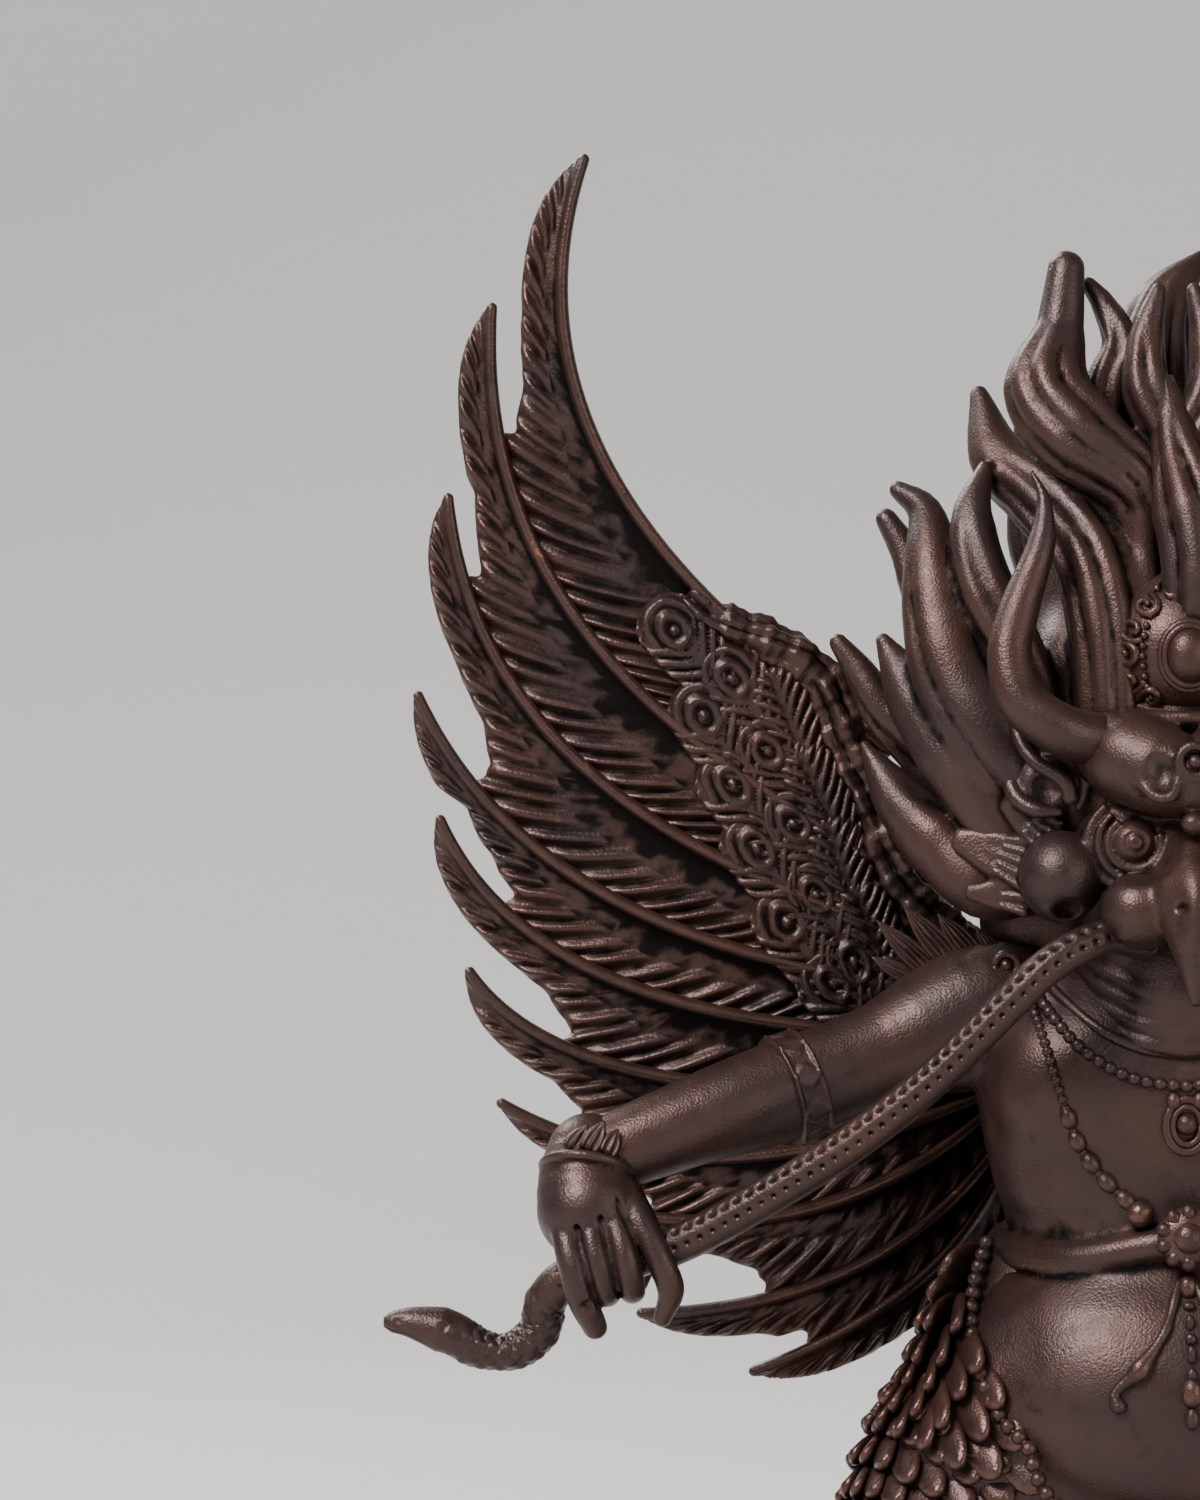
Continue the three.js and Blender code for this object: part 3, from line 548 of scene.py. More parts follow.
def aged_copper_group():
    """Oxidised copper: clouded brown, black in the hollows from dark patina and painted shade, worn through
    to red metal on the ridges.
    """
    tree = bpy.data.node_groups.new("aged copper", "ShaderNodeTree")
    for name, kind, value in AGED_COPPER_INPUTS:
        tree.interface.new_socket(name, in_out="INPUT", socket_type=kind).default_value = value
    for name, kind in AGED_COPPER_OUTPUTS:
        tree.interface.new_socket(name, in_out="OUTPUT", socket_type=kind)
    wiring = Wiring(tree)
    given = wiring.node("NodeGroupInput").outputs
    place = wiring.node("ShaderNodeTexCoord").outputs["Object"]
    relief = wiring.node("ShaderNodeAttribute", attribute_name="relief").outputs["Fac"]
    clouds = wiring.noise(place, CLOUD_SCALE, 3.0)
    blotches = wiring.noise(place, BLOTCH_SCALE, 4.0, 0.6)
    grain = wiring.noise(place, FINE_GRAIN_SCALE, 3.0)
    pebbles = wiring.node(
        "ShaderNodeTexVoronoi",
        {"Vector": place, "Scale": given["Pebble Scale"], "Smoothness": 0.7},
        feature="SMOOTH_F1",
    ).outputs["Distance"]

    uneven = wiring.maths("MULTIPLY", wiring.maths("SUBTRACT", blotches, 0.5), 0.9)
    shown = wiring.maths("ADD", relief, uneven)
    # painted shade: the hollows of the relief turn near black, partly patina and partly shade painted in
    # where they would lie in shadow
    hollow = wiring.step(shown, HOLLOW_SHADE_FROM, HOLLOW_SHADE_FULL)
    threshold = wiring.maths("SUBTRACT", 0.95, given["Wear"])
    worn = wiring.step(wiring.maths("SUBTRACT", shown, threshold), 0.0, 0.5)
    bare = wiring.maths("MULTIPLY", wiring.step(blotches, 0.64, 0.74), wiring.step(shown, 0.95, 1.2))

    colour = wiring.mix(wiring.step(clouds, 0.4, 0.62), given["Brown"], given["Dusky"])
    speckle = wiring.step(grain, 0.35, 0.7)
    rubbed = wiring.maths("MULTIPLY", worn, wiring.maths("ADD", speckle, 0.3, True))
    colour = wiring.mix(rubbed, colour, given["Worn"])
    # the hollows get the painted shade and dark patina colour
    colour = wiring.mix(hollow, colour, given["Hollow Shade"])
    colour = wiring.mix(bare, colour, given["Bare"])
    rough = wiring.step(blotches, 0.3, 0.75, *ROUGHNESS_RANGE)
    rough = wiring.maths("ADD", rough, wiring.maths("MULTIPLY", hollow, 0.2))
    rough = wiring.maths("SUBTRACT", rough, wiring.maths("MULTIPLY", worn, 0.1))
    metal = wiring.maths("ADD", METAL["open"], wiring.maths("MULTIPLY", hollow, METAL["more in hollows"]))
    height = wiring.maths("SUBTRACT", wiring.maths("MULTIPLY", grain, 0.35), pebbles)
    height = wiring.maths("ADD", height, wiring.maths("MULTIPLY", blotches, 0.6))
    wiring.node(
        "NodeGroupOutput",
        {
            "Colour": colour,
            "Metal": metal,
            "Roughness": rough,
            "Height": height,
        },
    )
    return tree


aged_copper = aged_copper_group()


def copper(name, pebble_depth, **values):
    """A material of aged copper with its own colours, wear and depth of casting grain."""
    material = bpy.data.materials.new(name)
    material.use_nodes = True
    tree = material.node_tree
    wiring = Wiring(tree)
    skin = wiring.node("ShaderNodeGroup", node_tree=aged_copper)
    for label, value in values.items():
        skin.inputs[label.replace("_", " ").title()].default_value = value
    bump = wiring.node(
        "ShaderNodeBump",
        {"Height": skin.outputs["Height"], "Strength": BUMP_STRENGTH, "Distance": pebble_depth},
    )
    shader = tree.nodes["Principled BSDF"]
    shader.inputs["Specular IOR Level"].default_value = 0.5
    for output, socket in (("Colour", "Base Color"), ("Metal", "Metallic"), ("Roughness", "Roughness")):
        tree.links.new(skin.outputs[output], shader.inputs[socket])
    tree.links.new(bump.outputs["Normal"], shader.inputs["Normal"])
    return material


figure_copper = copper("figure copper", 0.000032, wear=0.42, pebble_scale=6400.0)
torso = body_clay()
body_skin = Skin()
torso.cast(body_skin)
body = body_skin.piece("body", figure_copper)
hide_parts("figure")

# The face
# A bird's mask of copper, cast with the body: heavy brows with a pit in each, round eyes in ringed lids,
# ball cheeks with a hole underneath, small ears, leafy tufts behind the cheeks and a hooked beak.
SKULL = {"centre": (0, -3, 73.2), "radii": (9.0, 8.8, 9.6)}
BROW = [(4.9, -9.8, 75.4), (3.2, -11.6, 74.6), (1.3, -12.8, 73.8), (0, -13.2, 73.4)]
BROW_RIM = [
    (3.7, -13.9, 74.3), (2.95, -14.75, 73.0), (2.2, -15.2, 72.35), (1.4, -15.4, 72.4),
    (1.05, -15.5, 73.2),
]
FOREHEAD_EDGE = [(4.9, -9.4, 77.2), (2.4, -11.4, 77.2), (0, -12.0, 77.1)]
EYE = (3.3, -11.45, 69.6)
LID_TURNS = np.radians(np.linspace(50, -195, 15))
BEAK = [(0, -8.5, 69.4), (0, -12.3, 68.0), (0, -14.4, 65.6), (0, -15.7, 62.9), (0, -16.0, 60.3)]
MOUTH_LINE = [
    (6.0, -9.6, 64.2), (4.8, -12.4, 63.4), (3.2, -14.4, 62.8), (1.6, -16.2, 61.6), (0.9, -17.2, 60.0),
]
EAR_ROD = [
    (10.3, -8.3, 76.8), (9.8, -9.0, 75.4), (9.0, -9.7, 74.4), (7.9, -10.1, 73.7), (7.2, -10.3, 73.1),
    (7.0, -10.3, 72.3),
]
EAR_RIM = [(10.1, -7.6, 74.6), (10.5, -8.2, 73.2), (10.1, -8.8, 72.2), (9.0, -9.4, 71.5), (7.7, -9.6, 71.4)]
EAR_BACK = [(8.6, -8.6, 75.0), (7.2, -9.4, 74.6), (6.3, -9.9, 73.6), (6.2, -9.9, 72.5), (6.5, -9.8, 71.7)]
TUFTS = [
    {"base": (8.2, -8.6, 69.9), "tip": (10.7, -8.2, 71.9), "wide": 1.05, "ribs": 4},
    {"base": (9.3, -8.2, 68.1), "tip": (13.5, -6.8, 69.7), "wide": 1.5, "ribs": 5},
    {"base": (9.6, -8.0, 66.2), "tip": (12.9, -7.2, 66.5), "wide": 0.95, "ribs": 3},
]
THROAT_FOLDS = 4


def eye_arc(radius, back):
    """A ring of a lid, from above the eye's outer corner under it to the inner one."""
    return [
        (EYE[0] + radius * math.cos(a), back + 0.12 * radius * math.cos(a), EYE[2] + radius * math.sin(a))
        for a in LID_TURNS
    ]


def add_brow(clay):
    """The brow, its rolled rim and the pit in it, the curl between the brows and the beak's first knob."""
    clay.limb(BROW, [2.2, 2.85, 2.8, 2.3], blend=0.7)
    clay.limb(FOREHEAD_EDGE, [0.45], blend=0.5)
    clay.ball((2.05, -15.7, 74.1), (0.8, 0.9, 1.0), blend=0.45, cut=True)
    clay.limb(BROW_RIM, [0.22, 0.33, 0.36, 0.33, 0.25], blend=0.3)
    curl = [(0.95 * math.cos(a), -15.4, 74.5 + 0.95 * math.sin(a)) for a in np.linspace(-1.55, 1.55, 9)]
    clay.limb(curl, [0.3], blend=0.2)
    clay.ball((0, -15.6, 74.5), 0.42, blend=0.15)
    clay.ball((0, -14.8, 70.8), (0.8, 0.8, 0.7), blend=0.35)


def add_eye(clay):
    """The eyeball in its socket, three rings of lid under it, and the cut of the iris."""
    clay.ball((EYE[0] + 0.2, -9.6, EYE[2] - 0.2), (3.2, 2.2, 3.0), blend=0.5)
    clay.ball((EYE[0], -14.2, EYE[2]), (2.3, 2.6, 2.2), blend=0.7, cut=True)
    clay.ball(EYE, (1.45, 1.45, 1.4), blend=0.1)
    clay.limb(eye_arc(1.6, -12.05), [0.2, 0.26, 0.28, 0.24], blend=0.12)
    clay.limb(eye_arc(2.15, -11.65), [0.2, 0.28, 0.3, 0.26], blend=0.2)
    clay.limb(eye_arc(2.75, -11.15), [0.2, 0.34, 0.34, 0.2], blend=0.35)
    iris = [
        (EYE[0] + 0.62 * math.cos(a), -12.72, EYE[2] + 0.62 * math.sin(a)) for a in np.linspace(0, 6.28, 15)
    ]
    clay.limb(iris, [0.13], blend=0.08, cut=True)
    clay.ball((EYE[0], -13.0, EYE[2]), 0.22, blend=0.08, cut=True)


def add_beak(clay):
    """The hooked beak, its nostril, the line of the mouth and the folds of the throat."""
    clay.limb(BEAK, [3.6, 2.3, 2.6, 1.45, 0.45], blend=0.7)
    clay.ball((2.95, -12.6, 65.5), (2.45, 2.5, 2.4), blend=0.5)
    clay.limb([(0, -14.2, 69.0), (0, -16.5, 66.6), (0, -16.9, 64.4)], [0.6, 0.8, 0.5], blend=1.0)
    clay.ball((0.95, -17.0, 65.8), (0.42, 0.8, 0.36), blend=0.2, cut=True)
    clay.limb(MOUTH_LINE, [0.55, 0.5, 0.4, 0.3], blend=0.3, cut=True)
    clay.limb([(0, -5.0, 64.2), (0, -7.4, 61.8), (0, -8.0, 59.0)], [5.9, 4.3, 3.4], blend=0.5)
    for k in range(THROAT_FOLDS):
        fold = [
            (6.2, -4.6, 63.6 - 1.1 * k), (5.0, -7.6, 62.0 - 1.1 * k), (2.7, -10.0, 60.8 - 1.1 * k),
            (0, -10.9 + 0.2 * k, 60.3 - 1.1 * k),
        ]
        clay.limb(fold, [0.55], blend=0.35)


def add_ear(clay):
    """The hollow ear, with the rod that crosses it and its rims."""
    clay.ball((8.3, -7.2, 73.0), (2.3, 2.3, 2.5), blend=0.5)
    clay.ball((8.5, -10.2, 72.9), (1.35, 1.5, 1.15), blend=0.3, cut=True)
    clay.limb(EAR_ROD, [0.36, 0.45, 0.46, 0.46, 0.5, 0.5], blend=0.15)
    clay.limb(EAR_RIM, [0.25, 0.5, 0.55, 0.5, 0.3], blend=0.25)
    clay.limb(EAR_BACK, [0.2, 0.32, 0.36, 0.32, 0.25], blend=0.2)


def add_tuft(clay, base, tip, wide, ribs):
    """A leaf that lies back from the cheek, with short ribs where it meets it."""
    base, tip = np.array(base), np.array(tip)
    way = (tip - base) / np.linalg.norm(tip - base)
    side = np.array([-way[2], 0, way[0]])
    middle = 0.55 * base + 0.45 * tip
    for lane in (-0.62, 0, 0.62):
        start = base + side * lane * wide
        end = tip + side * lane * wide * 0.4
        strip = [start, middle + side * lane * wide, end]
        clay.limb(strip, [wide * 0.42, wide * 0.44, wide * 0.3], blend=0.35)
    for lane in np.linspace(-1, 1, ribs):
        start = base + side * lane * wide * 1.02
        end = base + 0.42 * (tip - base) + side * lane * wide * 0.75
        lift = np.array([0, -0.42 * wide, 0])
        clay.limb([start + lift, end + lift], [0.27, 0.16], blend=0.12)


def face_skin():
    """The mask, from the throat to the forehead; the hair covers what lies behind it."""
    clay = Clay(14.5, (-18.4, 56.4), (-0.6, 80.6), 0.15)
    clay.ball(**SKULL)
    add_beak(clay)
    add_eye(clay)
    add_brow(clay)
    clay.ball((7.5, -9.5, 67.5), (2.62, 2.75, 2.8), blend=0.2)
    clay.ball((7.25, -12.2, 65.3), (1.1, 2.2, 0.85), blend=0.15, cut=True)
    add_ear(clay)
    for tuft in TUFTS:
        add_tuft(clay, **tuft)
    skin = Skin()
    clay.cast(skin)
    return skin


face = face_skin().piece("face", figure_copper)

# The hair and horns
# Thick flame locks, cast in one with the head, that rise from the temples to a tall crest, grooved along
# their roots and smooth at their tips, with a curling horn in front on each side.


def smooth_step(low, high, value):
    """0 below low, 1 above high, and a soft rise between them."""
    share = np.clip((value - low) / (high - low), 0, 1)
    return share * share * (3 - 2 * share)


def limb_rings(path, girths, count, sides, relief=None):
    """A limb of round section along a path; relief gives how much it swells at a share and an angle."""
    places, _ = smooth_path(path, count)
    girth = np.interp(np.linspace(0, 1, count), np.linspace(0, 1, len(girths)), girths)[:, None]
    _, across, deep = frames_along(places)
    angle = np.linspace(0, 2 * math.pi, sides, endpoint=False)[None, :]
    if relief is not None:
        girth = girth + relief(np.linspace(0, 1, count)[:, None], angle)
    turned = np.cos(angle)[..., None] * across[:, None] + np.sin(angle)[..., None] * deep[:, None]
    return places[:, None] + girth[..., None] * turned


def mirrored_path(path, side):
    """A path given out, back and up, with its x: side is -1 for the right hand's side, 1 for the left."""
    return np.array([(side * out, back, up) for out, back, up in path])


HAIR_LOCKS = [
    {
        "path": [(9, -3.4, 66.6), (11.9, -5, 66.9), (14.3, -4, 69.2), (17, -3, 72.1), (19.2, -2, 75.5)],
        "girths": [1.7, 2.3, 2.3, 1.6, 0.3],
        "grooves": 2,
    },
    {
        "path": [(12, -1, 71), (15.9, -0.6, 75.5), (18.1, -0.4, 77.9), (19.3, -0.2, 80), (20.7, 0, 81.9)],
        "girths": [1.4, 1.6, 1.6, 1.2, 0.6],
        "grooves": 3,
    },
    {
        "path": [(9, -5, 69), (11, -6, 70.3), (13.1, -5.4, 73.7), (15.8, -3.4, 78), (18, -2, 82.0)],
        "girths": [1.8, 2.1, 2.4, 1.9, 0.5],
        "grooves": 3,
    },
    {
        "path": [(12, 0, 80), (15.0, 1, 84), (16.4, 1.6, 87.6), (17.6, 2, 89.7)],
        "girths": [1.4, 1.4, 1.2, 0.7],
        "grooves": 4,
    },
    {
        "path": [
            (8.6, -5, 71.5), (10.9, -6.4, 74.5), (13.3, -5.4, 79), (14.5, -4.4, 83.2), (15, -3.4, 87),
            (15.4, -2, 90.0), (17.0, -1, 91.4),
        ],
        "girths": [1.8, 2.5, 2.85, 2.7, 2.2, 1.4, 0.6],
        "grooves": 4,
    },
    {
        "path": [(8, -6, 77), (10.1, -7, 81.3), (12.0, -6.4, 85.3), (12.7, -5.2, 89.4), (11.8, -4, 92.6)],
        "girths": [1.4, 1.8, 1.9, 1.5, 0.5],
        "grooves": 5,
    },
    {
        "path": [
            (4.4, -8.4, 78), (4.6, -8, 82.4), (5.6, -6.6, 87), (8.2, -4, 90.6), (10.8, -1.6, 93.3),
            (11.9, 0, 97.4),
        ],
        "girths": [2.3, 2.5, 2.5, 2.3, 1.9, 0.6],
        "grooves": 8,
    },
    {
        "path": [
            (1.4, -6, 89), (3.0, -6.8, 91.8), (6.1, -6.0, 94.4), (8.0, -4.6, 97.4), (7.2, -3.6, 101.0),
            (6.7, -3, 105),
        ],
        "girths": [1.4, 2.2, 2.9, 2.7, 1.5, 1.15],
        "grooves": 8,
    },
    {
        "path": [
            (4.6, -2, 94), (4.1, -2.6, 97.8), (3.3, -2.4, 100.4), (4.2, -1.6, 102.8), (5.2, -1.4, 104.2),
        ],
        "girths": [1.6, 1.6, 1.35, 1.0, 0.5],
        "grooves": 5,
    },
    {
        "path": [
            (0.2, -5.6, 91), (0.4, -6.2, 93.8), (1.9, -5.6, 97.2), (1.9, -4.6, 100.5), (1.1, -4.2, 103.6),
        ],
        "girths": [1.2, 1.5, 1.6, 1.2, 0.5],
        "grooves": 5,
    },
    {"path": [(4, 3, 66), (6.4, 5.4, 70.5), (8.8, 5.4, 77.2)], "girths": [2.4, 2.3, 0.4], "grooves": 5},
    {"path": [(5, 3, 72), (9.6, 5.4, 80.5), (12.6, 4.4, 90)], "girths": [3, 2.8, 0.4], "grooves": 7},
    {"path": [(3, 4, 80), (7, 6.4, 88), (8.8, 4.8, 98)], "girths": [2.8, 2.6, 0.4], "grooves": 7},
    {"path": [(0, 4, 72), (0, 7.6, 84), (0, 5.4, 98)], "girths": [3.4, 3.3, 0.5], "grooves": 8},
]
HAIR_WEBS = [
    [(9.6, -2.6, 92.2), (6.2, -5.4, 91.2), (2.4, -7.0, 89.0)],
    [(2.4, -7.0, 89.0), (0.2, -7.0, 92.4)],
    [(2.4, -7.0, 89.0), (2.0, -8.2, 84.0), (2.4, -8.6, 80.0)],
]
GROOVE_DEPTH = 0.34
GROOVE_END = 0.9


def lock_grooves(count, turn=0.0):
    """Rounded cuts along a lock, which fade out towards its smooth tip."""

    def depth(share, angle):
        """How deep the cut is at a share of the lock's length and an angle round it."""
        wave = 0.5 + 0.5 * np.cos(count * (angle + turn) + 2.5 * share)
        fade = 1 - smooth_step(0.55, 0.88, share)
        return GROOVE_DEPTH * wave ** (2.2 if count > 4 else 9) * fade

    return depth


def hair_skin():
    """All locks of the two sides, blended softly into each other at their roots."""
    clay = Clay(22.5, (-12, 61), (12, 107.5), 0.235)
    clay.ball((0, -0.4, 81.5), (9.0, 7.0, 14.0))
    clay.ball((0, 0.5, 73), (9.2, 7.0, 9.0), blend=1.0)
    clay.ball((5.4, 1.2, 64.6), (6.4, 4.6, 4.8), blend=1.0)
    clay.ball((5.8, -3.4, 79.2), (3.6, 4.2, 5.0), blend=1.0)
    for k, lock in enumerate(HAIR_LOCKS):
        clay.limb(lock["path"], lock["girths"], blend=0.4, grooves=lock_grooves(lock["grooves"], 0.9 * k))
    for web in HAIR_WEBS:
        clay.limb(web, [0.75, 0.65], blend=0.9)
    skin = Skin()
    clay.cast(skin)
    return skin


CREST = {
    "path": [(1.3, 0, 92), (1.2, 0.2, 96), (1.1, 1, 99.8), (0, 2, 103.4), (-2.4, 3, 106.4)],
    "girths": [2.6, 2.9, 2.8, 1.9, 0.4],
    "grooves": 9,
}
FRONT_FLAME = {
    "path": [(-0.4, -8.4, 81), (-1.1, -9.6, 85), (-0.9, -9.0, 88.8), (0.2, -7.2, 93.6), (0.9, -6, 98.1)],
    "girths": [2.0, 2.7, 2.8, 1.7, 0.5],
    "grooves": 7,
}
HORN = [
    (3.4, -9.8, 75.4), (5.5, -11.3, 75.8), (7.9, -12.2, 76.5), (10.1, -12, 78.2), (10.8, -11.4, 81),
    (10.1, -10.8, 84), (8.8, -10.2, 87.7), (8.6, -9.6, 90.4), (9.3, -9, 92.2),
]
HORN_GIRTHS = [1.5, 1.6, 1.6, 1.55, 1.45, 1.35, 1.25, 1.05, 0.85, 0.45, 0.1]


def carved(count):
    """Grooves of a single lock, as its swelling at a share and an angle."""

    def swell(share, angle):
        """How much the lock swells, which is less than 0 in a groove."""
        wave = 0.5 + 0.5 * np.cos(count * angle + 2.5 * share)
        return -GROOVE_DEPTH * wave**2.2 * (1 - smooth_step(GROOVE_END - 0.3, GROOVE_END, share))

    return swell


def add_lock(skin, path, girths, grooves):
    """A lock as a skin of its own, with a closed tip; its path is given out, back and up."""
    skin.add_grid(limb_rings(mirrored_path(path, -1), girths, 90, 48, carved(grooves)))


hair_and_crest = hair_skin()
for lock in (CREST, FRONT_FLAME):
    add_lock(hair_and_crest, **lock)
hair = hair_and_crest.piece("hair", figure_copper)

horn_skin = Skin()
for side in (-1, 1):
    horn_skin.add_grid(limb_rings(mirrored_path(HORN, side), HORN_GIRTHS, 110, 28))
horns = horn_skin.piece("horns", figure_copper)

# The crown and jewellery
# Cast on with the figure, in the same copper: a domed stone in scrolls on the forehead, a necklace with
# a pendant, a long bead chain with a petalled medallion and strands, armlets and a bead string on the hips.
CROWN = {"centre": (0, -6.6, 81.2), "radii": (5.0, 5.4, 5.2)}
STONE_UP = 80.9
MEDALLION_UP = 45.7
PENDANT_UP = 52.4
PETALS_OF_MEDALLION = 10

# Each bead of the middle strand: how far up it is, half its length and half its width.
MIDDLE_STRAND = [
    (43.9, 0.45, 0.4), (42.6, 0.85, 0.62), (41.6, 0.3, 0.42), (40.6, 0.55, 0.3), (39.7, 0.4, 0.38),
    (38.8, 0.6, 0.3), (37.6, 0.5, 0.34), (36.55, 0.95, 0.68), (35.0, 0.7, 0.45),
]

# Each scroll on the crown: how far out and up its middle is, and the angle where it starts.
SCROLLS = [
    (1.0, 84.9, 0), (2.5, 84.0, 2), (3.3, 82.5, 4), (3.7, 80.9, 1), (3.4, 79.3, 3), (2.2, 78.3, 5),
    (4.3, 83.9, 2), (4.6, 81.9, 5), (4.5, 79.7, 1),
]
NECKLACE = [(9.0, 60.6), (8.0, 59.0), (6.6, 57.3), (4.6, 55.9), (2.6, 55.1), (0, 54.8)]
COLLAR_EDGE = [(8.6, 61.6), (7.2, 59.9), (5.2, 58.2), (2.8, 57.1), (0, 56.7)]
LONG_CHAIN = [
    (9.3, 60.4), (8.9, 58.9), (8.4, 57.0), (7.9, 55.1), (7.1, 52.8), (6.4, 51.1), (5.15, 49.3),
    (3.6, 47.8),
]
STRAND = [
    (0.3, 43.4), (0.65, 42.5), (0.95, 41.6), (1.36, 40.45), (1.9, 39.55), (2.66, 38.5), (3.3, 37.7),
    (4.15, 37.0), (4.65, 36.4), (4.4, 35.7),
]
STRAND_GIRTHS = [0.25, 0.28, 0.34, 0.26, 0.34, 0.3, 0.42, 0.7, 0.4, 0.3, 0.5]
HIP_STRING = [
    (11.6, -2.4, 44.6), (12.4, -4.2, 42.6), (12.8, -5.6, 40.4), (12.7, -7.2, 38.6), (12.3, -8.4, 36.9),
    (11.7, -9.2, 35.4), (10.9, -9.9, 34.2), (9.7, -10.9, 33.0), (9.3, -11.3, 31.6), (8.7, -11.6, 30.4),
    (7.6, -12.2, 29.2), (5.6, -12.8, 28.0), (2.8, -13.0, 27.2), (0, -13.0, 27.0),
]

SHOULDER_LEAVES = [
    {"base": (16.1, -1.4, 60.9), "tip": (18.7, -1.2, 62.3), "half": 0.6},
    {"base": (15.0, -1.7, 61.4), "tip": (18.4, -1.3, 64.6), "half": 0.8},
    {"base": (13.7, -1.9, 62.0), "tip": (16.7, -1.5, 65.5), "half": 0.9},
    {"base": (12.3, -2.0, 62.3), "tip": (14.6, -1.6, 65.0), "half": 0.85},
    {"base": (10.9, -2.0, 62.2), "tip": (12.2, -1.6, 64.1), "half": 0.65},
]
ARMLET = {"from": 22.4, "to": 24.6, "lift": 0.16, "leaves": 9}
SHOULDER_STUD = (10.5, -4.3, 61.9)


def add_leaf(skin, side, base, tip, half, face, ribs=3, thick=0.3):
    """A pointed leaf from its base to its tip, ribbed at the base, its front towards a direction."""
    mirror = np.array([side, 1, 1])
    base, tip, face = (np.array(p, float) * mirror for p in (base, tip, face))
    way = tip - base
    across = np.cross(way, face)
    across /= np.linalg.norm(across)
    face = np.cross(across, way)
    face /= np.linalg.norm(face)
    share = np.linspace(0, 1, 24)[:, None]
    lane = np.linspace(-1, 1, 25)[None]
    width = half * (1 - share**2.4) * (0.8 + 0.9 * share * (1 - share)) + 0.04
    rib = (0.5 + 0.5 * np.cos(math.pi * ribs * lane)) ** 1.5 * (1 - smooth_step(0.45, 0.95, share))
    lift = thick * (0.45 + 0.55 * (1 - lane**2)) * (1 - 0.6 * share) + 0.3 * half * rib * (1 - 0.5 * lane**2)
    middle = base + share[..., None] * way
    front = middle + (lane * width)[..., None] * across + lift[..., None] * face
    back = middle + (lane[:, ::-3] * width * 0.96)[..., None] * across - 0.12 * face
    skin.add_grid(np.concatenate([front, back], axis=1))


def armlet_rings(side):
    """A band round the arm with a raised rim on both sides and leaves in low relief between them."""
    line, _ = smooth_path(ARM, 600)
    girth = np.interp(np.linspace(0, 1, 600), np.linspace(0, 1, len(ARM_GIRTHS)), ARM_GIRTHS)
    on_band = (line[:, 0] > ARMLET["from"]) & (line[:, 0] < ARMLET["to"])
    path, girth = line[on_band] * (side, 1, 1), girth[on_band]
    _, across, deep = frames_along(path)
    share = np.linspace(0, 1, len(path))[:, None]
    turn = np.linspace(0, 2 * math.pi, 180, endpoint=False)[None]
    rims = sum(np.exp(-(((share - edge) / 0.07) ** 2)) for edge in (0.1, 0.9))
    leaf = np.abs(((turn * ARMLET["leaves"] / (2 * math.pi)) % 1) - 0.5) * 2
    inside = smooth_step(0.0, 0.35, 0.85 * np.sin(math.pi * share) - leaf)
    ends = smooth_step(0, 0.05, share) * smooth_step(1, 0.95, share)
    band = girth[:, None] + ARMLET["lift"] + 0.16 * rims + 0.17 * inside
    swell = band * ends + (girth[:, None] - 0.6) * (1 - ends)
    around = np.cos(turn)[..., None] * across[:, None] + np.sin(turn)[..., None] * deep[:, None]
    return path[:, None] + swell[..., None] * around


def on_torso(places, sink=0.0):
    """Places on the front of the body, from how far out and up they are."""
    return [(out, torso.front(out, up) + sink, up) for out, up in places]


def add_bead(skin, centre, along, across, way=(0, 0, 1)):
    """A bead or a boss: half its length along a direction, and half its width."""
    way = np.array(way, float) / np.linalg.norm(way)
    start = np.array([1.0, 0, 0]) if abs(way[0]) < 0.8 else np.array([0, 0, 1.0])
    one = np.cross(way, start)
    one /= np.linalg.norm(one)
    other = np.cross(way, one)
    turn = np.linspace(0, 2 * math.pi, 14, endpoint=False)
    tilt = np.linspace(-1.45, 1.45, 9)
    rings = [
        np.array(centre) + math.sin(t) * along * way
        + math.cos(t) * across * (np.outer(np.cos(turn), one) + np.outer(np.sin(turn), other))
        for t in tilt
    ]
    skin.add_grid(np.stack(rings))


def add_string(skin, path, pitch, along, across, cord=0.45):
    """Beads on a cord along a path."""
    length = np.linalg.norm(np.diff(path, axis=0), axis=1).sum()
    count = max(2, int(round(length / pitch)))
    places, _ = smooth_path(path, count + 1)
    way = np.gradient(places, axis=0)
    for place, direction in zip(places, way):
        add_bead(skin, place, along, across, direction)
    skin.add_grid(limb_rings(path, [cord * across, cord * across], count * 3, 8))


def add_tube(skin, path, girths, sides=10):
    """A thin round bar along a path."""
    length = np.linalg.norm(np.diff(np.array(path), axis=0), axis=1).sum()
    skin.add_grid(limb_rings(path, girths, max(6, int(length / 0.25)), sides))


def oval(centre, wide, high, count):
    """A closed oval that faces the front, from its middle and its half width and height."""
    out, back, up = centre
    return [
        (out + wide * math.cos(a), back, up + high * math.sin(a)) for a in np.linspace(0, 2 * math.pi, count)
    ]


def crown_front(out, up):
    """How far back the front of the crown's plate lies."""
    (_, back, middle), (wide, deep, high) = CROWN["centre"], CROWN["radii"]
    return back - deep * math.sqrt(max(0.02, 1 - (out / wide) ** 2 - ((up - middle) / high) ** 2))


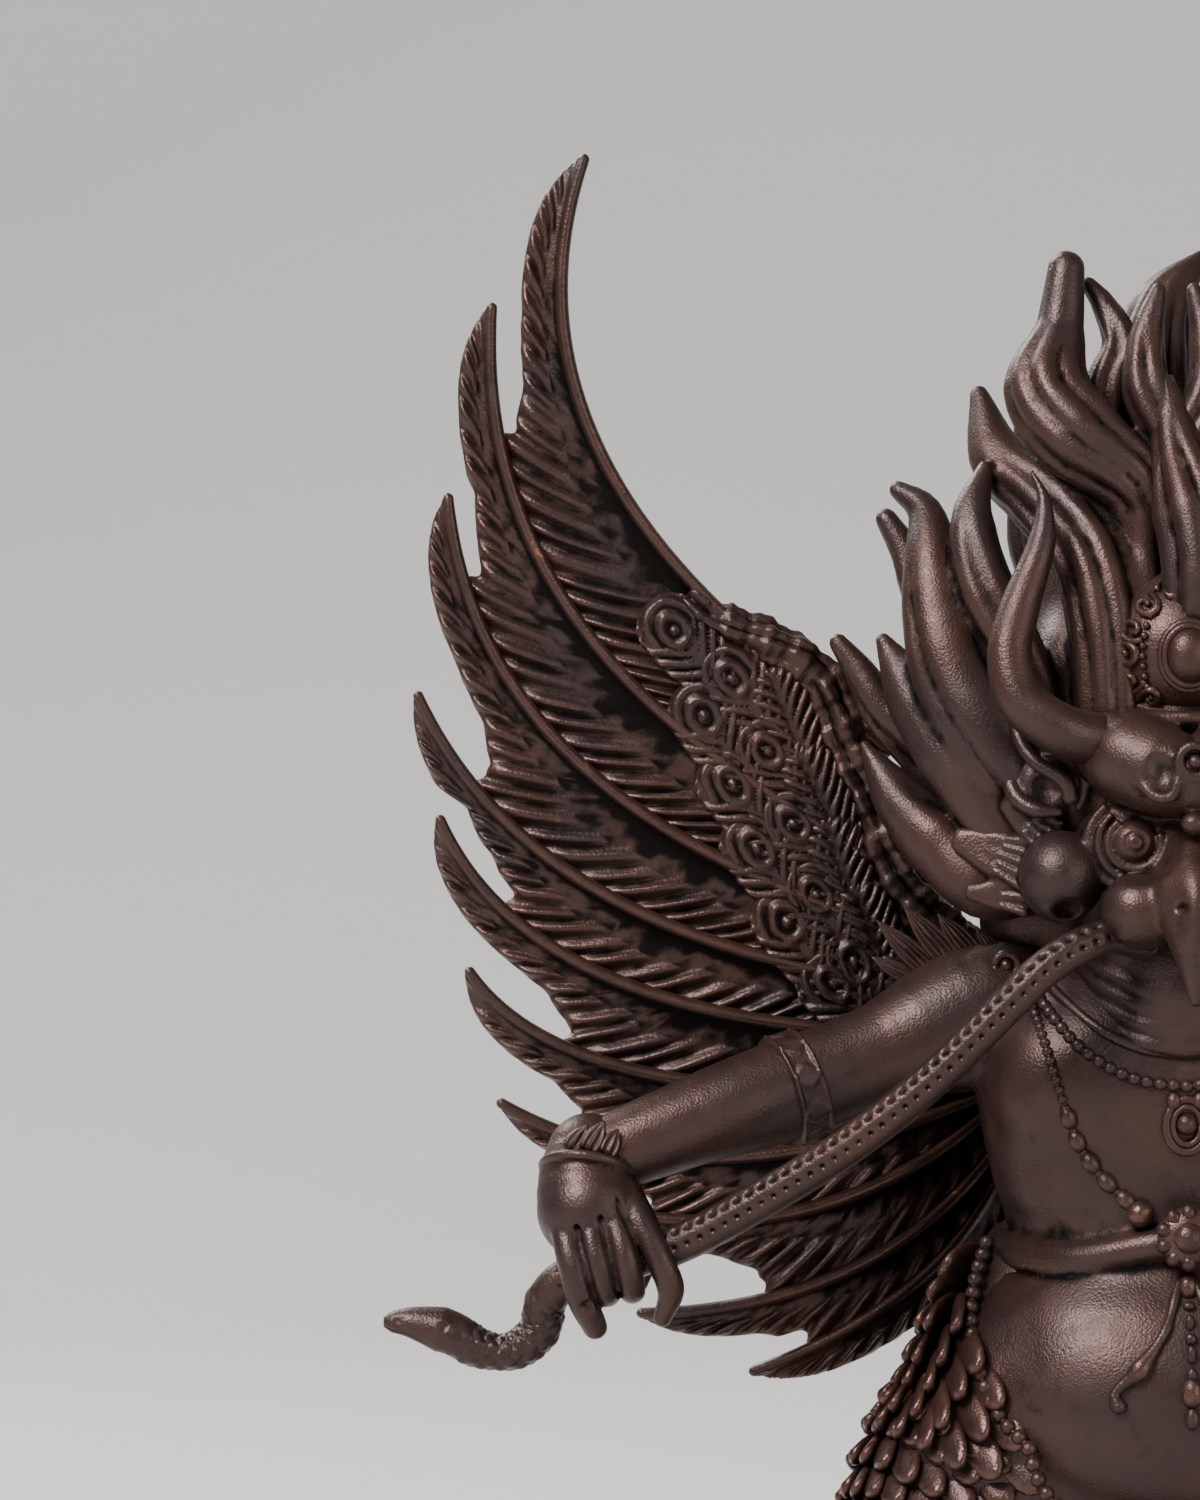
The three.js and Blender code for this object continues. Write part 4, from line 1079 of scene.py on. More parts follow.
def add_crown(skin):
    """A domed plate with the oval stone in its bezel, and small scrolls round it."""
    turn = np.linspace(0, 2 * math.pi, 48, endpoint=False)
    (_, back, middle), (wide, deep, high) = CROWN["centre"], CROWN["radii"]
    dome = [
        np.stack([
            wide * math.cos(t) * np.cos(turn),
            back - deep * math.sin(t) + 0 * turn,
            middle + high * math.cos(t) * np.sin(turn),
        ], axis=-1)
        for t in np.linspace(-0.4, 1.5, 16)
    ]
    skin.add_grid(np.stack(dome))
    front = crown_front(0, STONE_UP)
    for t, rise in ((1.72, 0.0), (1.5, 0.35)):
        add_tube(skin, oval((0, front - rise * 0.6, STONE_UP), t, 1.2 * t, 33), [0.24, 0.24], 8)
    stone = [
        np.stack([
            1.42 * math.cos(t) * np.cos(turn), front - 1.25 * math.sin(t) + 0 * turn,
            STONE_UP + 1.72 * math.cos(t) * np.sin(turn),
        ], axis=-1)
        for t in np.linspace(-0.3, 1.5, 12)
    ]
    skin.add_grid(np.stack(stone))
    for side in (-1, 1):
        for out, up, start in SCROLLS:
            spiral = []
            for a in np.linspace(0, 2 * math.pi * 1.3, 22):
                reach = 0.78 - 0.085 * a
                x, z = out + reach * math.cos(a + start), up + reach * math.sin(a + start)
                spiral.append((side * x, crown_front(x, z) - 0.22, z))
            add_tube(skin, spiral, [0.2, 0.27, 0.24, 0.2], 8)
        for up in np.arange(78.4, 84.6, 0.62):
            out = 2.75 * math.sqrt(max(0.05, 1 - ((up - 81.0) / 4.2) ** 2))
            add_bead(skin, (side * out, crown_front(out, up) - 0.15, up), 0.24, 0.24)


def add_chains(skin, side):
    """The necklace, the long chain, a hanging strand and the hip string of one side."""
    necklace = mirrored_path(on_torso(NECKLACE, -0.1), side)
    add_string(skin, necklace, 0.8, 0.42, 0.4)
    collar_edge = mirrored_path(on_torso(COLLAR_EDGE, -0.05), side)
    add_tube(skin, collar_edge, [0.32, 0.36])
    chain = mirrored_path(on_torso(LONG_CHAIN, -0.12), side)
    add_string(skin, chain[:5], 0.62, 0.3, 0.34)
    add_string(skin, chain[4:], 1.5, 0.78, 0.54)
    add_bead(skin, (side * 2.75, torso.front(2.75, 47.0) - 0.35, 47.0), 0.85, 0.85)
    strand = mirrored_path(on_torso(STRAND, -0.15), side)
    add_tube(skin, strand, STRAND_GIRTHS, 12)
    add_bead(skin, strand[-1], 0.5, 0.5)
    string = [(out, min(back, torso.front(out, up)) - 0.2, up) for out, back, up in HIP_STRING]
    add_string(skin, mirrored_path(string, side), 0.98, 0.5, 0.5)


def add_arm_ornaments(skin, side):
    """The leaves that stand up behind a shoulder, the stud in front of it and the armlet."""
    for leaf in SHOULDER_LEAVES:
        add_leaf(skin, side, leaf["base"], leaf["tip"], leaf["half"], (0.1, -1, 0.25), ribs=5)
    skin.add_grid(armlet_rings(side))
    out, back, up = SHOULDER_STUD
    add_tube(skin, mirrored_path(oval(SHOULDER_STUD, 0.72, 0.72, 25), side), [0.26, 0.26])
    add_bead(skin, (side * out, back, up), 0.35, 0.4, (0, -1, 0))


def add_medallion(skin):
    """A boss in ten petals where the chains meet, the middle strand under it and the pendant above."""
    front = torso.front(0, MEDALLION_UP) - 0.35
    add_bead(skin, (0, front, MEDALLION_UP), 1.0, 1.9, (0, -1, 0))
    add_bead(skin, (0, front - 0.55, MEDALLION_UP), 0.95, 1.02, (0, -1, 0))
    for k in range(PETALS_OF_MEDALLION):
        a = 2 * math.pi * (k + 0.5) / PETALS_OF_MEDALLION
        place = (1.52 * math.cos(a), front - 0.35, MEDALLION_UP + 1.52 * math.sin(a))
        add_bead(skin, place, 0.55, 0.47, (math.cos(a), 0.2, math.sin(a)))
    for up, along, across in MIDDLE_STRAND:
        add_bead(skin, (0, torso.front(0, up) - 0.15, up), along, across)
    for up, out in ((53.9, 0.8), (53.9, -0.8)):
        add_bead(skin, (out, torso.front(0, up), up), 0.6, 0.5)
    pendant = torso.front(0, PENDANT_UP)
    for wide, high, girth, rise in ((1.25, 1.6, 0.3, 0.1), (0.85, 1.15, 0.2, 0.25)):
        add_tube(skin, oval((0, pendant - rise, PENDANT_UP), wide, high, 33), [girth, girth])
    add_bead(skin, (0, pendant, 52.5), 0.75, 0.72, (0, -1, 0.1))


jewel_skin = Skin()
add_crown(jewel_skin)
add_medallion(jewel_skin)
for side in (-1, 1):
    add_chains(jewel_skin, side)
    add_arm_ornaments(jewel_skin, side)
jewellery = jewel_skin.piece("jewellery", figure_copper)

# The hands
# Cast with the arms. Each fist closes over the snake with its back to the front; the outer fingers hang
# past it, and a leafy cuff with a rounded rim sits on the wrist.
PALM = [(36.3, -6.9, 50.4), (36.4, -7.6, 48.9), (36.2, -8.4, 47.1), (35.5, -8.8, 45.6)]
FINGERS = [
    {
        "path": [
            (34.2, -9.0, 48.4), (33.1, -10.2, 46.4), (32.0, -10.7, 44.3), (31.3, -10.2, 42.4),
            (31.8, -9.2, 40.6),
        ],
        "girths": [0.9, 0.9, 0.85, 0.85, 0.55],
    },
    {
        "path": [
            (35.2, -9.5, 47.8), (34.5, -10.9, 46.0), (34.0, -11.5, 44.2), (33.7, -10.7, 42.6),
            (33.6, -9.0, 42.2),
        ],
        "girths": [0.9, 0.88, 0.86, 0.86, 0.75],
    },
    {
        "path": [
            (36.4, -9.5, 47.6), (36.1, -10.9, 45.8), (35.7, -11.4, 44.0), (35.3, -10.6, 42.4),
            (35.1, -9.0, 42.0),
        ],
        "girths": [0.9, 0.88, 0.86, 0.86, 0.75],
    },
    {
        "path": [
            (37.8, -8.9, 47.6), (37.6, -10.3, 45.6), (37.1, -11.0, 43.6), (36.5, -10.5, 41.6),
            (35.9, -9.7, 40.1),
        ],
        "girths": [0.9, 0.9, 0.95, 1.0, 0.75],
    },
]
THUMB = [(34.0, -6.0, 47.6), (32.8, -5.4, 45.0), (33.4, -6.2, 42.6)]
WRIST = np.array([36.24, -7.0, 49.28])
CUFF = {"wide": 2.85, "slope": 0.4, "deep": 3.4, "rise": 1.3}
CUFF_LEAF_TURNS = np.radians([5, 32, 58, 84, 110, 136, 162])
CUFF_LEAF_WAY = np.array([-0.75, 0.1, 1.3])


def cuff_place(turn):
    """A place on the cuff's rim; its turn is a quarter in front."""
    return WRIST + np.array([
        CUFF["wide"] * math.cos(turn), -CUFF["deep"] * math.sin(turn),
        CUFF["slope"] * math.cos(turn) + CUFF["rise"] * math.sin(turn),
    ])


def hand_skin():
    """Palm, fingers, thumb and cuff of the right hand, and their mirror image."""
    clay = Clay(41, (-14, 36.5), (-1, 55.5), 0.15)
    clay.limb(PALM, [2.55, 3.0, 3.25, 2.5], blend=0.5)
    for finger in FINGERS:
        clay.limb(finger["path"], finger["girths"], blend=0.2)
    for one, other in zip(FINGERS[:-1], FINGERS[1:]):
        between = (np.array(one["path"]) + np.array(other["path"])) / 2
        between[:, 1] -= (1.5, 0.8, 0.72, 0.72, 0.8)
        clay.limb(between, [0.1, 0.2, 0.24, 0.22, 0.15], blend=0.25, cut=True)
    clay.ball((36.35, -11.45, 41.5), (0.45, 0.3, 0.4), blend=0.15, cut=True)
    clay.limb(THUMB, [1.2, 1.1, 0.8], blend=0.3)
    clay.limb([cuff_place(turn) for turn in np.linspace(0, 2 * math.pi, 33)], [0.32], blend=0.12)
    skin = Skin()
    clay.cast(skin)
    for side in (-1, 1):
        for k, turn in enumerate(CUFF_LEAF_TURNS):
            foot = cuff_place(turn)
            radial = (foot - WRIST) * (1, 1, 0)
            radial /= np.linalg.norm(radial)
            foot = foot - 0.5 * radial + 0.2 * CUFF_LEAF_WAY
            tip = foot + (1.15 + 0.2 * (k % 2)) * CUFF_LEAF_WAY - 0.3 * radial
            add_leaf(skin, side, foot, tip, 0.72, radial, thick=0.22)
    return skin


hands = hand_skin().piece("hands", figure_copper)

# The snake
# Cast in one with the beak that bites it and the fists that hold it, with two rows of punched dots along
# it, a scaly neck beyond each fist and a blunt head.
SNAKE = [
    (2.0, -10.0, 63.2), (4.6, -12.0, 63.9), (6.4, -13.2, 63.5), (8.8, -13.9, 62.1), (11.4, -14, 59.6),
    (15.7, -13.5, 55.3), (20.5, -12.5, 51.4), (25.9, -11, 47.9), (30.7, -9.6, 45.2), (34.4, -8.2, 43.9),
    (37.5, -7, 42.9), (38.9, -6.4, 41.4), (39.3, -6, 39.6), (40.9, -6, 38.3), (42.9, -6, 38.4),
    (44.8, -6, 39.4), (47.1, -6, 40.0), (48.9, -6, 40.05),
]
SNAKE_GIRTHS = [
    (0, 0.95), (0.1, 1.12), (0.6, 1.2), (0.8, 1.25), (0.845, 1.2), (0.875, 1.05), (0.905, 1.25),
    (0.94, 1.42), (0.968, 1.02), (0.992, 0.66), (1, 0.3),
]
DOTS_FACE = (0.0, -0.93, 0.36)
DOTS_END = 0.76
DOT_PITCH = 0.88
DOT_ROWS = (-0.42, 0.4)
DOT_SIZE = 0.25
DOT_DEPTH = 0.3


def ways_along(places, given):
    """The directions along a path, and a given direction turned square to each of them."""
    way = np.gradient(places, axis=0)
    way /= np.linalg.norm(way, axis=1, keepdims=True)
    square = np.array(given, float) * np.ones((len(places), 1))
    square -= way * (square * way).sum(axis=1, keepdims=True)
    square /= np.linalg.norm(square, axis=1, keepdims=True)
    return way, square


def snake_rings(side):
    """The snake of one side, with its dots punched in and scales on its neck."""
    count = 560
    places, _ = smooth_path(mirrored_path(SNAKE, side), count)
    way, toward = ways_along(places, DOTS_FACE)
    below = np.cross(way, toward) * side
    reach = np.concatenate([[0], np.cumsum(np.linalg.norm(np.diff(places, axis=0), axis=1))])
    share = np.linspace(0, 1, count)
    girth = np.interp(share, *zip(*SNAKE_GIRTHS))[:, None]
    angle = np.linspace(-math.pi, math.pi, 48, endpoint=False)[None, :]
    angle = angle - 0.5 * np.sin(angle)
    swell = np.zeros((count, angle.size))
    for row, turn in enumerate(DOT_ROWS):
        along = (reach[:, None] / DOT_PITCH + 0.5 * row) % 1 - 0.5
        gap = np.hypot(along * DOT_PITCH, (angle - turn) * girth)
        swell -= DOT_DEPTH * np.exp(-((gap / DOT_SIZE) ** 2) * 1.6) * (share[:, None] < DOTS_END)
    neck = smooth_step(0.77, 0.8, share)[:, None] * (1 - smooth_step(0.9, 0.93, share))[:, None]
    run = reach[:, None] * 3.3
    scales = np.abs(np.sin(run + 3 * angle)) * np.abs(np.sin(run - 3 * angle))
    swell += neck * 0.13 * scales
    eye = np.hypot((share[:, None] - 0.938) * reach[-1], (angle - 0.1) * girth)
    swell += 0.1 * np.exp(-(((eye - 0.42) / 0.14) ** 2)) - 0.08 * np.exp(-((eye / 0.3) ** 2))
    nostril = np.hypot((share[:, None] - 0.985) * reach[-1], (angle - 0.2) * girth)
    swell -= 0.12 * np.exp(-((nostril / 0.22) ** 2))
    lip = np.abs(angle - 1.15) * girth
    swell -= 0.12 * np.exp(-((lip / 0.14) ** 2)) * smooth_step(0.93, 0.96, share)[:, None]
    flat = 1 - 0.12 * smooth_step(0.9, 0.94, share)[:, None]
    out = girth + swell
    return (
        places[:, None]
        + (out * np.cos(angle) * flat)[..., None] * toward[:, None]
        + (out * np.sin(angle))[..., None] * below[:, None]
    )


snake_skin = Skin()
for side in (-1, 1):
    snake_skin.add_grid(snake_rings(side))
snake = snake_skin.piece("snake", figure_copper)

# The legs
# Thick thighs under overlapping rounded scales, ringed shanks, and bird feet with four clawed toes each,
# cast with the body. The picture ends at the hips, so the rest follows figures of the same kind.
THIGH = [(6, 0, 36), (12, -1.6, 28), (16, -3.6, 20.6), (16.6, -3.4, 14)]
THIGH_GIRTHS = [8.0, 8.1, 7.6, 6.4, 4.6, 3.0]
SHANK = [(16.6, -3.4, 18), (15.6, -2, 9), (15, -1.6, 1.6)]
ANKLE_OUT = 15
ANKLE_BACK = -1.6
SHANK_RINGS = 9
FOOT_TURN = 14
TOE_SPREAD = 34

# Which way each toe points, in degrees out from straight ahead, and how long it is.
TOES = [
    (FOOT_TURN - TOE_SPREAD, 8.5), (FOOT_TURN, 8.5), (FOOT_TURN + TOE_SPREAD, 8.5), (FOOT_TURN + 180, 5.1),
]


def along_toe(turn, length, steps):
    """Places along a toe, each from its share of the toe's length and its height."""
    across, forward = math.sin(math.radians(turn)), -math.cos(math.radians(turn))
    return [
        (ANKLE_OUT + across * length * share, ANKLE_BACK + forward * length * share, up)
        for share, up in steps
    ]


def leg_skin():
    """Hips, thighs, shanks and feet without the scales, the soles cut flat."""
    clay = Clay(27, (-15, -1.5), (12, 46), 0.22)
    clay.limb(THIGH, [girth - 0.4 for girth in THIGH_GIRTHS], blend=1.2)
    clay.limb(HIP, [girth - 0.6 for girth in HIP_GIRTHS], blend=1.2)
    clay.limb(SHANK, [3.0, 2.3, 2.1], blend=0.8)
    for ring in range(SHANK_RINGS):
        up = 12.6 - 1.25 * ring
        rise = max(0.0, (up - 1.6) / 16.4) ** 1.3
        back = ANKLE_BACK - 1.8 * rise
        middle = ANKLE_OUT + 1.6 * rise
        around = [
            (middle + 2.15 * math.sin(a), back - 2.15 * math.cos(a), up) for a in np.linspace(-1.7, 1.7, 9)
        ]
        clay.limb(around, [0.42], blend=0.25)
    for turn, length in TOES:
        toe = along_toe(turn, length, [(0, 2.0), (0.3, 1.9), (0.55, 1.3), (0.78, 1.2)])
        clay.limb(toe, [1.9, 1.45, 1.3, 1.1], blend=0.35)
        for knuckle in along_toe(turn, length, [(share, 1.75 - share) for share in (0.34, 0.52, 0.7)]):
            clay.ball(knuckle, (1.5, 1.5, 1.25), blend=0.2)
        claw = along_toe(turn, length, [(0.74, 1.5), (0.88, 1.5), (1.0, 0.25)])
        clay.limb(claw, [0.85, 0.7, 0.2], blend=0.12)
    floor_slices, (x, y, z) = clay.window((clay.low[0], clay.low[1], -2), (0, 20, 3))
    clay.press(floor_slices, (z + 0 * x + 0 * y).astype(np.float32), 0.15, cut=True)
    skin = Skin()
    clay.cast(skin)
    return skin


SCALE_LENGTH = 4.5
SCALE_WIDTH = 2.3
SCALE_PITCH = 1.75
SCALE_LIFT = 0.62
SCALE_LEAN = math.radians(62)
SCALE_SEED = 21
NO_SCALES = 2.5
EDGE_GAP = 0.8


def scale_rings(root, way, normal, length, width):
    """A rounded scale that lies on the skin at its root and stands off a little at its end."""
    across = np.cross(way, normal)
    share = np.array([0.0, 0.2, 0.42, 0.62, 0.78, 0.9, 0.97, 1.0])
    half = 0.5 * width * np.array([0.5, 0.85, 1.0, 1.0, 0.9, 0.66, 0.38, 0.12])
    turn = np.linspace(0, 2 * math.pi, 10, endpoint=False)
    lift = SCALE_LIFT * share**0.8 - 0.25
    rings = []
    for k in range(len(share)):
        dome = np.where(np.sin(turn) > 0, 0.36, 0.3) * (1 if k < 7 else 0.5)
        middle = root + share[k] * length * way + lift[k] * normal
        ring = middle + np.outer(half[k] * np.cos(turn), across) + np.outer(dome * np.sin(turn), normal)
        rings.append(ring)
    return np.stack(rings)


# Where the scales end on the belly's side: how far up, and how far out from the middle.
HIP_EDGE = [
    (26, 0.0), (27.2, 2.0), (28.0, 5.6), (29.2, 7.6), (31.6, 9.2), (34.2, 10.8), (36.9, 12.2), (41, 12.7),
    (44, 11.9),
]


def add_scales(skin, side, line, girths, shares, random):
    """Rows of scales round a thigh or a hip, each row over the next one below."""
    count = 200
    places, _ = smooth_path(mirrored_path(line, side), count)
    length = np.linalg.norm(np.diff(places, axis=0), axis=1).sum()
    _, across, deep = frames_along(places)
    girths = np.interp(np.linspace(0, 1, count), np.linspace(0, 1, len(girths)), girths)
    edge_up, edge_out = zip(*HIP_EDGE)
    for row, start in enumerate(np.arange(shares[1], shares[0], -SCALE_PITCH / length)):
        k = int(start * (count - 1))
        later = min(k + 12, count - 1)
        around = max(7, round(2 * math.pi * girths[k] / (0.86 * SCALE_WIDTH)))
        for n in range(around):
            angle = 2 * math.pi * (n + 0.5 * (row % 2) + random.uniform(-0.08, 0.08)) / around
            normal = math.cos(angle) * across[k] + math.sin(angle) * deep[k]
            root = places[k] + girths[k] * normal
            ahead = places[later] + girths[later] * normal - root
            ahead /= np.linalg.norm(ahead)
            lean = SCALE_LEAN * (1 - 0.7 * smooth_step(34, 18, root[2]))
            ahead = math.cos(lean) * ahead - side * math.sin(lean) * np.cross(normal, ahead)
            edge = np.interp(root[2], edge_up, edge_out)
            if side * root[0] < NO_SCALES or (root[1] < 0 and side * root[0] < edge + EDGE_GAP):
                continue
            scale_length = SCALE_LENGTH * random.uniform(0.92, 1.08)
            scale_width = SCALE_WIDTH * random.uniform(0.94, 1.06)
            skin.add_grid(scale_rings(root, ahead, normal, scale_length, scale_width))


legs_skin = leg_skin()
for side in (-1, 1):
    scatter = np.random.default_rng(SCALE_SEED + side)
    add_scales(legs_skin, side, THIGH, THIGH_GIRTHS, (0.24, 0.86), scatter)
    add_scales(legs_skin, side, HIP, HIP_GIRTHS, (0.0, 0.84), scatter)
legs = legs_skin.piece("legs", figure_copper)

# The tail
# A fan of five long feathers, cast with the body, from the small of the back down behind the feet. The
# photo doesn't show it, so it follows figures of the same kind.
TAIL = {"feathers": 5, "spread": 10.4, "root": (5.0, 34), "bend": (11.0, 22), "tip": (15.1, 4.0)}
TAIL_HALF_WIDTH = 3.2
TAIL_THICKNESS = 1.5
PLUME_PITCH = 1.3
PLUME_BARB = 0.3


def plume_rings(path, across, half_width, thick):
    """A feather with barbs on both sides of its quill, along a path, lying across the given way."""
    count = 150
    places, _ = smooth_path(path, count)
    way, side = ways_along(places, across)
    face = np.cross(side, way)
    share = np.linspace(0, 1, count)
    reach = np.linalg.norm(np.diff(places, axis=0), axis=1).sum() * share
    half = half_width * np.sin(np.pi * np.clip(0.16 + 0.86 * share, 0, 1)) ** 0.6
    half = np.maximum(half * (1 - smooth_step(0.86, 1, share)) ** 0.5, 0.12)
    place_across = np.linspace(-1, 1, 19)
    rings = []
    for sign in (1, -1):
        for a in place_across * sign:
            quill = 0.55 * thick * np.exp(-((a * half / 0.5) ** 2))
            phase = (reach - 1.1 * abs(a) * half) / PLUME_PITCH % 1
            ridge = PLUME_BARB * (1 - np.abs(2 * phase - 1) ** 2.2)
            ridge = ridge * min(1, abs(a) * 3) * min(1, 4.5 * (1 - abs(a)))
            body = 0.5 * thick * (1 - 0.55 * abs(a)) * (1 - 0.8 * smooth_step(0.9, 1, share))
            rise = sign * (body + (quill + ridge) * np.clip(half / 1.2, 0, 1))
            if abs(a) == 1:
                rise = 0 * rise
                if sign < 0:
                    continue
            rings.append(places + (a * half)[:, None] * side + rise[:, None] * face)
    return np.stack(rings, axis=1)


tail_skin = Skin()
middle = (TAIL["feathers"] - 1) / 2
for i in range(TAIL["feathers"]):
    lean = (i - middle) / middle
    lift = 5 * lean * lean
    tail_path = [
        (2.5 * lean, *TAIL["root"]),
        (0.6 * TAIL["spread"] * lean, TAIL["bend"][0] - lean * lean, TAIL["bend"][1] + lift),
        (TAIL["spread"] * lean, TAIL["tip"][0] - lean * lean, TAIL["tip"][1] + lift),
    ]
    tail_skin.add_grid(plume_rings(tail_path, (1, 0, 0.1 * lean), TAIL_HALF_WIDTH, TAIL_THICKNESS))
tail = tail_skin.piece("tail", figure_copper)

# The wings
# Each wing is a thin plate of copper cast by itself, with ten flight feathers, short covert feathers
# over their roots and a lumpy bone along the inner edge. A lug fixes it to the figure's back. The left
# wing is the right one's mirror image.
WING_LUG = {"inner": 0.75, "outer": 10.05, "front": 8.9, "back": 11.0, "low": 46.0, "high": 59.5}
LUG_CORNER = 0.32
WING_TIP_BACK = 3.0
WING_SEED = 11

# Root, bend and tip of each quill, out from the middle and up from the soles, then how wide the vane
# is 10 mm back from the tip, and the end of the notch between this feather and the next.
FLIGHT_FEATHERS = [
    ((24.2, 80.6), (42.6, 95.3), (36.5, 112.75), 2.6, (40.9, 95.1)),
    ((26.0, 73.2), (43.8, 84.7), (42.4, 103.4), 2.5, (43.2, 86.1)),
    ((24.5, 66.7), (43.8, 74.8), (45.2, 91.4), 2.45, (42.7, 73.5)),
    ((23.5, 61.7), (41.5, 65.9), (47.2, 78.9), 2.1, (41.4, 65.4)),
    ((22.0, 57.7), (41.1, 59.8), (45.8, 71.1), 2.35, (37.4, 57.1)),
    ((20.0, 53.7), (39.0, 53.6), (44.0, 61.5), 2.35, (36.2, 52.6)),
    ((14.0, 52.2), (31.0, 46.4), (42.1, 53.1), 1.9, (32.2, 46.8)),
    ((11.0, 52.0), (22.3, 43.0), (36.5, 46.5), 2.3, (25.2, 42.4)),
    ((10.0, 50.0), (18.4, 39.7), (33.3, 39.7), 2.2, (22.5, 38.6)),
    ((10.0, 48.0), (14.4, 40.0), (26.2, 35.9), 2.3, None),
]
LOWEST_VANE = 5.5
VANE_ROUND = 2.8
VANE_SPREAD = 0.045
BARB_PITCH = 1.6
BARB_STEPS = 9
BARB_LEANS = (math.radians(10), math.radians(56))
LEAN_REACH = 30
BARB_CURVE = 0.15
BARB_HEIGHT = 0.5
QUILL_HALF_WIDTH = 0.45
QUILL_HEIGHT = 0.8
VANE_THICKNESS = 0.85
TIP_ROUND = 0.34
TIP_STEPS = np.array([0.8, 0.6, 0.42, 0.26, 0.13, 0.05, 0.01])
VANE_DROP = 0.5
NOTCH_HALF = 0.42
NOTCH_SPREAD = 0.045
NOTCH_SPREAD_REACH = 6
NOTCH_LIP = 0.9
NOTCH_LIP_REACH = 3
EDGE_SMOOTHING = np.array([1, 2, 3, 2, 1])
LONGEST_BARB = 20
ROOT_UNDER = 9


def wing_depth(out):
    """How far back the wing's own face lies at a distance out from the middle."""
    root = WING_LUG["front"] + 1.05 - WING_TIP_BACK
    return WING_TIP_BACK + root * np.exp(-np.maximum(0, out - 9) / 6)


def bezier(points, share):
    """Places and directions along a curve of three points, at shares of its parameter."""
    a, b, c = (np.array(p, float) for p in points)
    t = share[:, None]
    place = (1 - t) ** 2 * a + 2 * t * (1 - t) * b + t**2 * c
    way = 2 * (1 - t) * (b - a) + 2 * t * (c - b)
    return place, way / np.linalg.norm(way, axis=1, keepdims=True)


QUILL_POINTS = 400


class Quill:
    """A quill's line in the wing's plane, measured by its length from the root."""

    def __init__(self, root, bend, tip):
        share = np.linspace(0, 1, QUILL_POINTS)
        self.place, self.way = bezier((root, bend, tip), share)
        steps = np.linalg.norm(np.diff(self.place, axis=0), axis=1)
        self.reach = np.concatenate([[0], np.cumsum(steps)])
        self.length = self.reach[-1]

    def at(self, length):
        """Places and directions at lengths from the root; past the ends it runs straight on."""
        inside = np.clip(length, 0, self.length)
        place = np.stack([np.interp(inside, self.reach, self.place[:, k]) for k in (0, 1)], axis=-1)
        way = np.stack([np.interp(inside, self.reach, self.way[:, k]) for k in (0, 1)], axis=-1)
        return place + (length - inside)[..., None] * way, way

    def nearest(self, places):
        """How far places lie from the line, less than 0 on the upper feather's side, and where along it."""
        flat = places.reshape(-1, 2)
        gap = flat[:, None, :] - self.place[None, ::4, :]
        far = np.linalg.norm(gap, axis=2)
        nearest = far.argmin(axis=1)
        way = self.way[::4][nearest]
        picked = gap[np.arange(len(flat)), nearest]
        side = np.sign(picked[:, 0] * way[:, 1] - picked[:, 1] * way[:, 0])
        along = self.reach[::4][nearest] + (picked * way).sum(axis=1)
        return (side * far.min(axis=1)).reshape(places.shape[:-1]), along.reshape(places.shape[:-1])


def barb_leans(quill, foot):
    """How far each barb leans away from the quill: little near the tip, more towards the root."""
    back = np.clip((quill.length - foot) / LEAN_REACH, 0, 1)
    return BARB_LEANS[0] + (BARB_LEANS[1] - BARB_LEANS[0]) * back


def barb_places(place, way, lean, reach):
    """Places along barbs, which leave the quill outwards and bend towards the tip as they go."""
    outward = np.stack([way[..., 1], -way[..., 0]], axis=-1)
    along = reach * np.cos(lean) + 0.5 * BARB_CURVE * reach**2
    return place + along[..., None] * way + (reach * np.sin(lean))[..., None] * outward


def first_reach(reaches, met):
    """For each barb, the first of the reaches where something is met, or else the last one."""
    first = reaches[np.argmax(met, axis=1)]
    return np.where(met.any(axis=1), first, reaches[-1])


def barb_lengths(quill, foot, breadth, next_quill, notch):
    """How long each barb is: to the vane's free edge or the notch, or past that to the next quill."""
    reaches = np.linspace(0.02, LONGEST_BARB, 200)
    place, way = quill.at(foot)
    lean = barb_leans(quill, foot)[:, None]
    spots = barb_places(place[:, None], way[:, None], lean, reaches[None] + 0 * lean)
    out, along = quill.nearest(spots)
    back = np.maximum(quill.length - along, 0)
    width = breadth * (1 - np.exp(-back / VANE_ROUND)) * (1 + VANE_SPREAD * np.maximum(back - 10, 0))
    if next_quill is None:
        return first_reach(reaches, (out > width) | (out > LOWEST_VANE))
    gap, beside = next_quill.nearest(spots)
    beyond = beside - next_quill.nearest(np.array([notch], float))[1] - NOTCH_HALF
    half = NOTCH_HALF + NOTCH_SPREAD * np.clip(beyond, 0, NOTCH_SPREAD_REACH)
    middle = -(QUILL_HALF_WIDTH + half)
    in_notch = (np.hypot(gap - middle, np.minimum(beyond, 0)) < half) & (beside < next_quill.length)
    width = width + NOTCH_LIP * smooth_step(NOTCH_LIP_REACH, 0, beyond)
    lengths = first_reach(reaches, (gap > -0.05) | in_notch | ((out > width) & (beyond > 0)))
    return np.convolve(np.pad(lengths, 2, "edge"), EDGE_SMOOTHING / 9, "valid")


